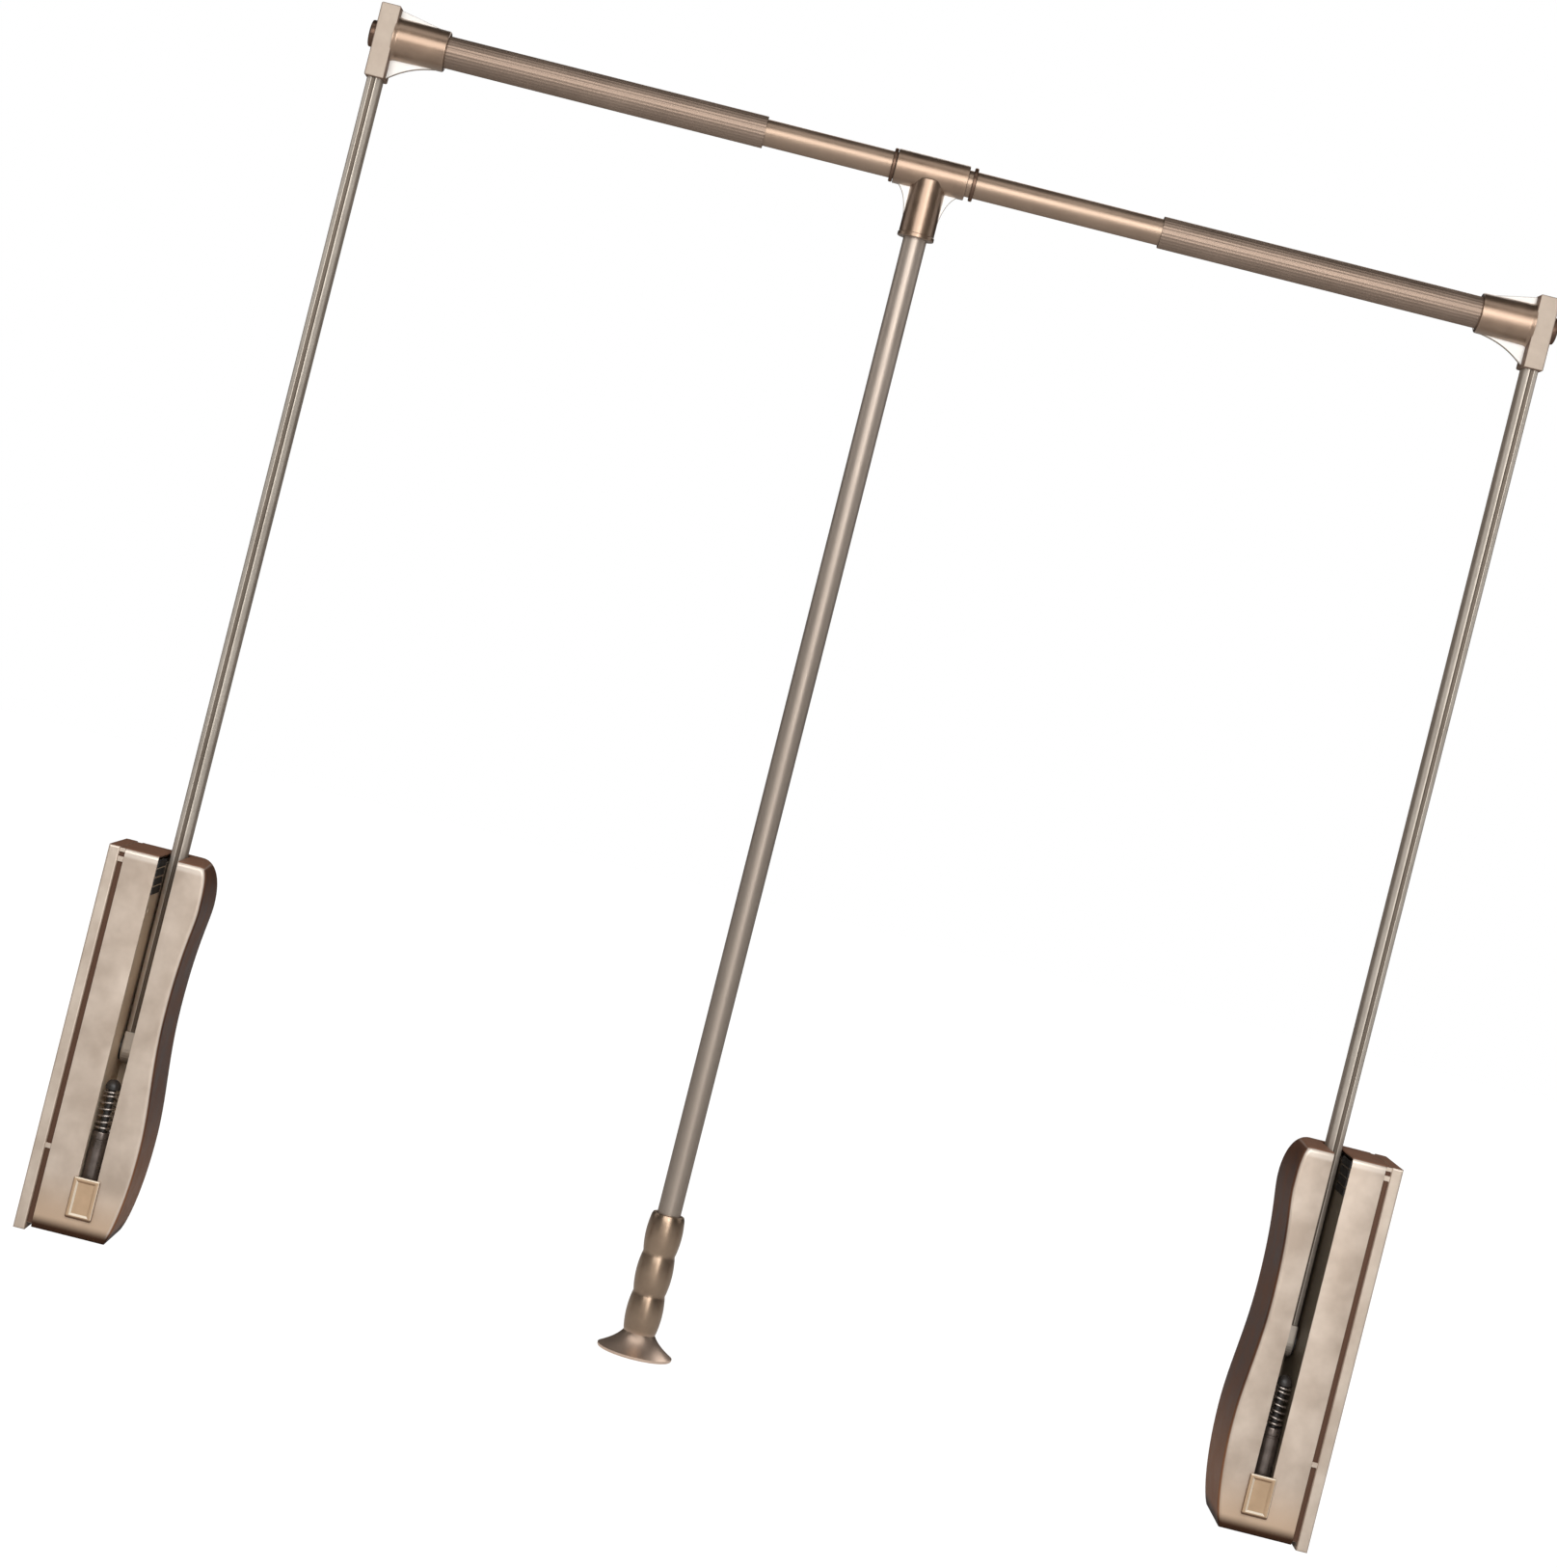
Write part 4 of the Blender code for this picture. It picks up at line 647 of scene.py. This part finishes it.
stopLip = {"thick": 0.0012, "front": -0.0372, "back": -0.0005, "low": 0.2775, "high": 0.3050, "ribs": 4,
           "gap": 0.0016, "seat": -0.0002, "edge": 0.0003, "segments": 2}
shape = bmesh.new()
seat = armX - cover["slotHalf"] + stopLip["seat"]
pitch = (stopLip["high"] - stopLip["low"] + stopLip["gap"]) / stopLip["ribs"]
for i in range(stopLip["ribs"]):
    ribFoot = stopLip["low"] + i * pitch
    ribTop = ribFoot + pitch - stopLip["gap"]
    roundedBox(shape, (seat, stopLip["front"], ribFoot), (seat + stopLip["thick"], stopLip["back"], ribTop),
               stopLip["edge"], stopLip["segments"])
leftLip = placePiece("leftStopLip", shape, "left_housing", ["blackRubber"])
otherSide(leftLip, "rightStopLip", "right_housing")
print("caps and stops made")


# springs, wound by spinning a ring of wire

bufferCoil = {"radius": 0.0060, "wire": 0.0018, "low": 0.087916, "high": 0.121416, "endGap": 0.0003, "turns": 7,
              "endRise": 0.0024, "steps": 36, "ring": 12, "y": -0.02895, "stroke": 0.012}
torsionCoil = {"radius": 0.0165, "wire": 0.0042, "start": 0.03155, "pitch": 0.0049, "turns": 3, "leg": 0.018,
               "steps": 48, "ring": 14}


def windCoil(shape, coil, stand, middle, axis, spans):
    # each span is a number of turns and the rise along the axis that they make
    verts = bmesh.ops.create_circle(shape, segments=coil["ring"], radius=coil["wire"] / 2, matrix=stand)["verts"]
    ring = verts + shape.edges[:]
    bmesh.ops.edgeloop_fill(shape, edges=edgesOf(ring))
    for turns, rise in spans:
        count = round(abs(turns) * coil["steps"])
        ring = bmesh.ops.spin(shape, geom=ring, cent=middle, axis=axis, dvec=axis * rise / count,
                              angle=2 * math.pi * turns, steps=count)["geom_last"]
        middle = middle + axis * rise
    return edgesOf(ring)


endRoom = bufferCoil["endGap"] + bufferCoil["wire"] / 2
low, high = bufferCoil["low"] + endRoom, bufferCoil["high"] - endRoom
middle = Vector((armX, bufferCoil["y"], low))
stand = Matrix.Translation(middle + acrossAxis * bufferCoil["radius"]) @ Matrix.Rotation(quarterTurn, 4, "X")
endTurn = (1, bufferCoil["endRise"])
openTurns = (bufferCoil["turns"] - 2, high - low - 2 * bufferCoil["endRise"])
shape = bmesh.new()
ring = windCoil(shape, bufferCoil, stand, middle, upAxis, [endTurn, openTurns, endTurn])
bmesh.ops.edgeloop_fill(shape, edges=ring)
leftCoil, rightCoil = bothSides("BufferCoil", shape, "buffer", ["springSteel"], "buffer_spring")
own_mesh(leftCoil)
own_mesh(rightCoil)

middle = Vector((wallX + torsionCoil["start"], armY, pivot.z))
stand = Matrix.Translation(middle - Vector((0, torsionCoil["radius"], 0)))
wound = (-torsionCoil["turns"], -torsionCoil["pitch"] * torsionCoil["turns"])
shape = bmesh.new()
ring = windCoil(shape, torsionCoil, stand, middle, acrossAxis, [wound])
drawOut(shape, ring, (0, 0, torsionCoil["leg"]))
bmesh.ops.edgeloop_fill(shape, edges=[edge for edge in shape.edges if edge.is_boundary])
bothSides("LiftSpring", shape, "housing", ["springSteel"], "torsion_spring")
print("springs wound")


# buffer: cylinder and plunger

damper = {"foot": 0.0293, "floor": 0.0353, "top": 0.087916, "radius": 0.007, "bore": 0.0033, "y": -0.02895,
          "lip": [(-0.0014, 0), (-0.0005, -0.0004), (0, -0.0013)],
          "groove": [(0, -0.006), (-0.0005, -0.0065), (-0.0005, -0.008), (0, -0.0085)],
          "footEdge": [(0, 0.0006), (-0.0006, 0)], "around": 48}
plunger = {"radius": 0.006, "domeFoot": 0.123416, "domeRings": 12, "headFoot": 0.121416, "rodRadius": 0.003,
           "rodFoot": 0.0476, "headEdge": [(0, 0.0004), (-0.0004, 0)], "around": 40}
middle = Vector((armX, damper["y"], 0))
profile = [(0, damper["floor"]), (damper["bore"], damper["floor"]), (damper["bore"], damper["top"])]
profile += steps(damper["radius"], damper["top"], damper["lip"] + damper["groove"])
profile += steps(damper["radius"], damper["foot"], damper["footEdge"]) + [(0, damper["foot"])]
shape = spinProfile(profile, middle, upAxis, damper["around"])
bothSides("DamperCylinder", shape, "housing", ["darkSteel"], "buffer_cylinder")
turns = [quarterTurn * i / plunger["domeRings"] for i in range(plunger["domeRings"] + 1)]
profile = [(plunger["radius"] * math.sin(turn), plunger["domeFoot"] + plunger["radius"] * math.cos(turn))
           for turn in turns]
profile += steps(plunger["radius"], plunger["headFoot"], plunger["headEdge"])
profile += [(plunger["rodRadius"], plunger["headFoot"]), (plunger["rodRadius"], plunger["rodFoot"]),
            (0, plunger["rodFoot"])]
shape = spinProfile(profile, middle, upAxis, plunger["around"])
bothSides("DamperPlunger", shape, "buffer", ["blackNylon"], "buffer_plunger")
print("buffers made")


# arms: flat oval tubes with a shallow flute down the front, darkened with painted shade

armTube = {"width": 0.012, "depth": 0.025, "wall": 0.0012, "low": 0.1645, "high": 0.9717, "segments": 56,
           "fluteHalf": 0.0015, "flute": 0.0007}


def inFlute(place):
    return place.y < armY and abs(place.x - armX) < armTube["fluteHalf"]


shape = bmesh.new()
stand = (Matrix.Translation((armX, armY, armTube["low"]))
         @ Matrix.Rotation(math.pi / armTube["segments"], 4, "Z"))
ring = bmesh.ops.create_circle(shape, segments=armTube["segments"], radius=armTube["width"] / 2,
                               matrix=stand)["verts"]
straight = (armTube["depth"] - armTube["width"]) / 2
for sign in (-1, 1):
    half = [vert for vert in ring if (vert.co.y - armY) * sign > 0]
    bmesh.ops.translate(shape, verts=half, vec=(0, sign * straight, 0))
bmesh.ops.translate(shape, verts=[vert for vert in ring if inFlute(vert.co)], vec=(0, armTube["flute"], 0))
drawOut(shape, shape.edges[:], (0, 0, armTube["high"] - armTube["low"]))
turnOutward(shape, 0)
# the flute's faces take the second material, the stripe of painted shade
for face in shape.faces:
    face.material_index = int(inFlute(face.calc_center_median()))
leftArm = placePiece("leftArmTube", shape, "left_arm", ["bronzeArm", "armStripeShade"],
                     ["left_arm_tube"], solid=False)
addWall(leftArm, armTube["wall"])
evenFaces(leftArm)
otherSide(leftArm, "rightArmTube", "right_arm", ["right_arm_tube"])
print("arms made")


# hanging bar: fluted outer tubes over the smooth inner tube

flutedTube = {"radius": 0.013, "depth": 0.00026, "flutes": 30, "low": -0.4645, "length": 0.302, "wall": 0.0008,
              "softening": 0.0004, "segments": 2}
shape = bmesh.new()
end = Vector((flutedTube["low"], armY, barZ))
stand = Matrix.Translation(end) @ Matrix.Rotation(quarterTurn, 4, "Y")
ring = bmesh.ops.create_circle(shape, segments=2 * flutedTube["flutes"], radius=flutedTube["radius"],
                               matrix=stand)["verts"]
inward = 1 - flutedTube["depth"] / flutedTube["radius"]
bmesh.ops.scale(shape, verts=ring[::2], vec=(1, inward, inward), space=Matrix.Translation(-end))
drawOut(shape, shape.edges[:], (flutedTube["length"], 0, 0))
lengths = [edge for edge in shape.edges if edge.calc_length() > flutedTube["length"] / 2]
softenEdges(shape, lengths, flutedTube["softening"], flutedTube["segments"])
turnOutward(shape, 2)
leftOuter = placePiece("leftFlutedTube", shape, "left_arm", ["flutedTube"],
                       ["left_outer_tube"], sharp=60, solid=False)
addWall(leftOuter, flutedTube["wall"])
evenFaces(leftOuter)
otherSide(leftOuter, "rightFlutedTube", "right_arm", ["right_outer_tube"])

innerTube = {"radius": 0.01075, "bore": 0.00975, "half": 0.290, "lip": [(-0.0004, 0), (0, 0.0004)], "around": 72}
profile = collar(innerTube["bore"], innerTube["radius"], -innerTube["half"], innerTube["half"], innerTube["lip"])
shape = spinProfile(profile, teeMiddle, acrossAxis, innerTube["around"])
placePiece("smoothInnerTube", shape, "inner_bar", ["brightTube"], ["inner_tube"])

stopRing = {"radius": 0.0136, "bore": 0.01105, "thick": 0.003, "starts": {"left": -0.03255, "right": 0.03305},
            "lip": [(-0.0008, 0), (-0.00024, 0.00024), (0, 0.0008)], "around": 56}
for side, start in stopRing["starts"].items():
    profile = collar(stopRing["bore"], stopRing["radius"], start, start + stopRing["thick"], stopRing["lip"])
    shape = spinProfile(profile, teeMiddle, acrossAxis, stopRing["around"])
    placePiece(side + "StopCollar", shape, "inner_bar", ["darkBronze"], [side + "_stop_ring"])
print("hanging bar made")


# corner connectors: block, socket, webs and cap

cornerBlock = {"half": 0.008, "deep": 0.0155, "above": 0.0245, "below": 0.035, "edge": 0.0013, "segments": 3}
shape = bmesh.new()
roundedBox(shape, barCorner - Vector((cornerBlock["half"], cornerBlock["deep"], cornerBlock["below"])),
           barCorner + Vector((cornerBlock["half"], cornerBlock["deep"], cornerBlock["above"])),
           cornerBlock["edge"], cornerBlock["segments"])
leftBlock = placePiece("leftCornerBlock", shape, "left_arm", ["paleBlock"],
                       ["left_corner_connector"])
otherSide(leftBlock, "rightCornerBlock", "right_arm", ["right_corner_connector"])

socket = {"root": 0.008, "mouth": 0.0505, "radius": 0.0172, "mouthRadius": 0.0164, "bore": 0.0133,
          "rootSteps": [(0.0012, -0.001), (0.0008, 0.0006), (0.0002, 0.0016), (0, 0.003)],
          "lip": [(0, -0.0012), (-0.0004, -0.0004), (-0.0012, 0)],
          "boreSteps": [(0.0004, 0), (0, -0.0004)], "seat": [(0, -0.001)], "around": 72}
profile = (steps(socket["bore"], socket["root"], socket["seat"])
           + steps(socket["radius"], socket["root"], socket["rootSteps"])
           + steps(socket["mouthRadius"], socket["mouth"], socket["lip"])
           + steps(socket["bore"], socket["mouth"], socket["boreSteps"]))
shape = spinProfile(profile, barCorner, acrossAxis, socket["around"])
leftSocket = placePiece("leftSocket", shape, "left_arm", ["bronzeCasting"])
otherSide(leftSocket, "rightSocket", "right_arm")

web = {"thick": 0.004, "edge": 0.0007, "edgeAngle": 50, "resolution": 16, "rootShare": 0.9}
lowerKnots = [((0.0070, -0.0335), (0.0080, -0.0350), (0.0186, -0.0241)),
              ((0.0485, -0.0159), (0.0293, -0.0182), (0.0505, -0.0159))]
webLines = {"LowerWeb": bezierWire(lowerKnots, web["resolution"]),
            "UpperWeb": [(0.0070, 0.0233), (0.0441, 0.0159)]}
for part, line in webLines.items():
    root = line[-1][1] * web["rootShare"]              # inside the socket
    shape = bmesh.new()
    solidOutline(shape, steps(armX, barZ, line + [(line[-1][0], root), (line[0][0], root)]), web["thick"])
    leftWeb = placePiece("left" + part, shape, "left_arm", ["webPaintedReflection"])
    addSoftEdges(leftWeb, web["edge"], web["edgeAngle"])
    otherSide(leftWeb, "right" + part, "right_arm")

endCap = {"radius": 0.0108, "seat": -0.0083, "out": -0.0128, "slotHalf": 0.0012, "slotDepth": 0.0016,
          "edge": [(0, 0.0014), (-0.00042, 0.00042), (-0.0014, 0)], "faceReach": 0.0001, "around": 48}
profile = [(0, endCap["seat"]), (endCap["radius"], endCap["seat"])]
profile += steps(endCap["radius"], endCap["out"], endCap["edge"]) + [(0, endCap["out"])]
shape = spinProfile(profile, barCorner, acrossAxis, endCap["around"])
for slotSide in (-endCap["slotHalf"], endCap["slotHalf"]):  # a driver slot across the cap
    cutPlane(shape, (0, 0, barZ + slotSide), (0, 0, 1))
groove = [face for face in shape.faces if abs(face.calc_center_median().z - barZ) < endCap["slotHalf"]
          and face.calc_center_median().x < armX + endCap["out"] + endCap["faceReach"]]
sunken = bmesh.ops.extrude_face_region(shape, geom=groove)["geom"]
bmesh.ops.translate(shape, verts=vertsOf(sunken), vec=(endCap["slotDepth"], 0, 0))
bmesh.ops.delete(shape, geom=[face for face in groove if face.is_valid], context="FACES_ONLY")
bothSides("EndCap", shape, "arm", ["darkBronze"], "connector_cap")
print("corners made")


# tee on the bar

tee = {"half": 0.02925, "radius": 0.014, "bore": 0.0123, "lip": [(-0.0006, 0), (-0.0002, 0.0002), (0, 0.0006)],
       "around": 72}
profile = collar(tee["bore"], tee["radius"], -tee["half"], tee["half"], tee["lip"])
shape = spinProfile(profile, teeMiddle, acrossAxis, tee["around"])
placePiece("teeSleeve", shape, "pull_handle", ["bronzeCasting"], ["tee_connector"])

teeSocket = {"bore": 0.0098, "radius": 0.01425, "peak": -0.0135, "shoulder": -0.006, "foot": -0.053,
             "lip": [(0, 0.0035), (0.0006, 0.003), (0.0006, 0.0004), (0.0002, 0)], "around": 72}
profile = [(teeSocket["bore"], teeSocket["peak"]), (teeSocket["radius"], teeSocket["shoulder"])]
profile += steps(teeSocket["radius"], teeSocket["foot"], teeSocket["lip"])
profile += [(teeSocket["bore"], teeSocket["foot"])]
shape = spinProfile(profile, teeMiddle, upAxis, teeSocket["around"])
placePiece("teeSocket", shape, "pull_handle", ["bronzeCasting"])

teeKnots = [((0.0255, -0.0126), (0.026, -0.012), (0.01785, -0.0175)),
            ((0.0138, -0.041), (0.01496, -0.0287), (0.0138, -0.042))]
teeRoot = [(0.012, -0.041), (0.012, -0.0126)]
line = bezierWire(teeKnots, web["resolution"]) + teeRoot
shape = bmesh.new()
for sign in (-1, 1):
    solidOutline(shape, [(teeMiddle.x + sign * reach, barZ + rise) for reach, rise in line], web["thick"])
teeWebs = placePiece("teeWebs", shape, "pull_handle", ["webPaintedReflection"])
addSoftEdges(teeWebs, web["edge"], web["edgeAngle"])
print("tee made")


# pull rod and grip

pullRod = {"radius": 0.0095, "bore": 0.0085, "low": 0.0423, "high": 0.966, "lip": [(0, 0)], "around": 64}
rodLine = Vector((teeMiddle.x, armY, 0))
profile = collar(pullRod["bore"], pullRod["radius"], pullRod["low"], pullRod["high"], pullRod["lip"])
shape = spinProfile(profile, rodLine, upAxis, pullRod["around"])
placePiece("pullRodTube", shape, "pull_handle", ["brightRod"], ["pull_rod"])

grip = {"top": 0.127, "waist": 0.0129, "swell": 0.0018, "fullness": 0.8, "barrels": 3, "steps": 14,
        "bore": 0.0098, "boreFoot": 0.042, "boreTop": 0.1265, "topEdge": [(-0.0012, 0), (-0.0003, -0.0004)],
        "around": 80}
flare = {"top": 0.030, "foot": 0.013, "radius": 0.0304, "rim": 0.0022, "steps": 12, "hollow": -0.002,
         "footEdge": [(0, 0.0008), (-0.0006, 0)]}
profile = [(0, grip["boreFoot"]), (grip["bore"], grip["boreFoot"]), (grip["bore"], grip["boreTop"])]
profile += steps(grip["waist"], grip["top"], grip["topEdge"])
barrel = (grip["top"] - flare["top"]) / grip["barrels"]
for i in range(grip["barrels"]):
    for j in range(1, grip["steps"]):
        share = j / grip["steps"]
        bulge = grip["swell"] * math.sin(math.pi * share) ** grip["fullness"]
        profile.append((grip["waist"] + bulge, grip["top"] - barrel * (i + share)))
    profile.append((grip["waist"], grip["top"] - barrel * (i + 1)))
spread, drop = flare["radius"] - grip["waist"], flare["top"] - flare["foot"] - flare["rim"]
slope = []
for i in range(flare["steps"]):
    share = (i + 1) / flare["steps"]
    slope.append((grip["waist"] + spread * (share + share ** 2) / 2, flare["top"] - drop * share))
profile += slope + steps(flare["radius"], flare["foot"], flare["footEdge"])
profile += steps(flare["hollow"], -flare["rim"], reversed(slope[:-1]))
profile.append((0, flare["top"] - flare["rim"]))
shape = spinProfile(profile, rodLine, upAxis, grip["around"])
placePiece("swellGrip", shape, "pull_handle", ["bronzeGrip"], ["grip"], sharp=40)
print("pull rod made")


# solids that are seen as they are

# the chassis sheets: painted light on the left, painted shade on the right
nodeLooks = {"wall_plate": "champagnePlate", "left_chassis": "litBronzeSheet", "right_chassis": "shadedSheet",
             "stop_bumper": "blackRubber", "arm_hub": "bronzeArm", "bush": "blackNylon", "guide": "blackNylon"}
for name, node in nodes.items():
    if node.hide_render:
        continue
    lookName = next((look for part, look in nodeLooks.items() if part in name), "darkSteel")
    node.data.materials.clear()
    node.data.materials.append(looks[lookName])
print("solids dressed")
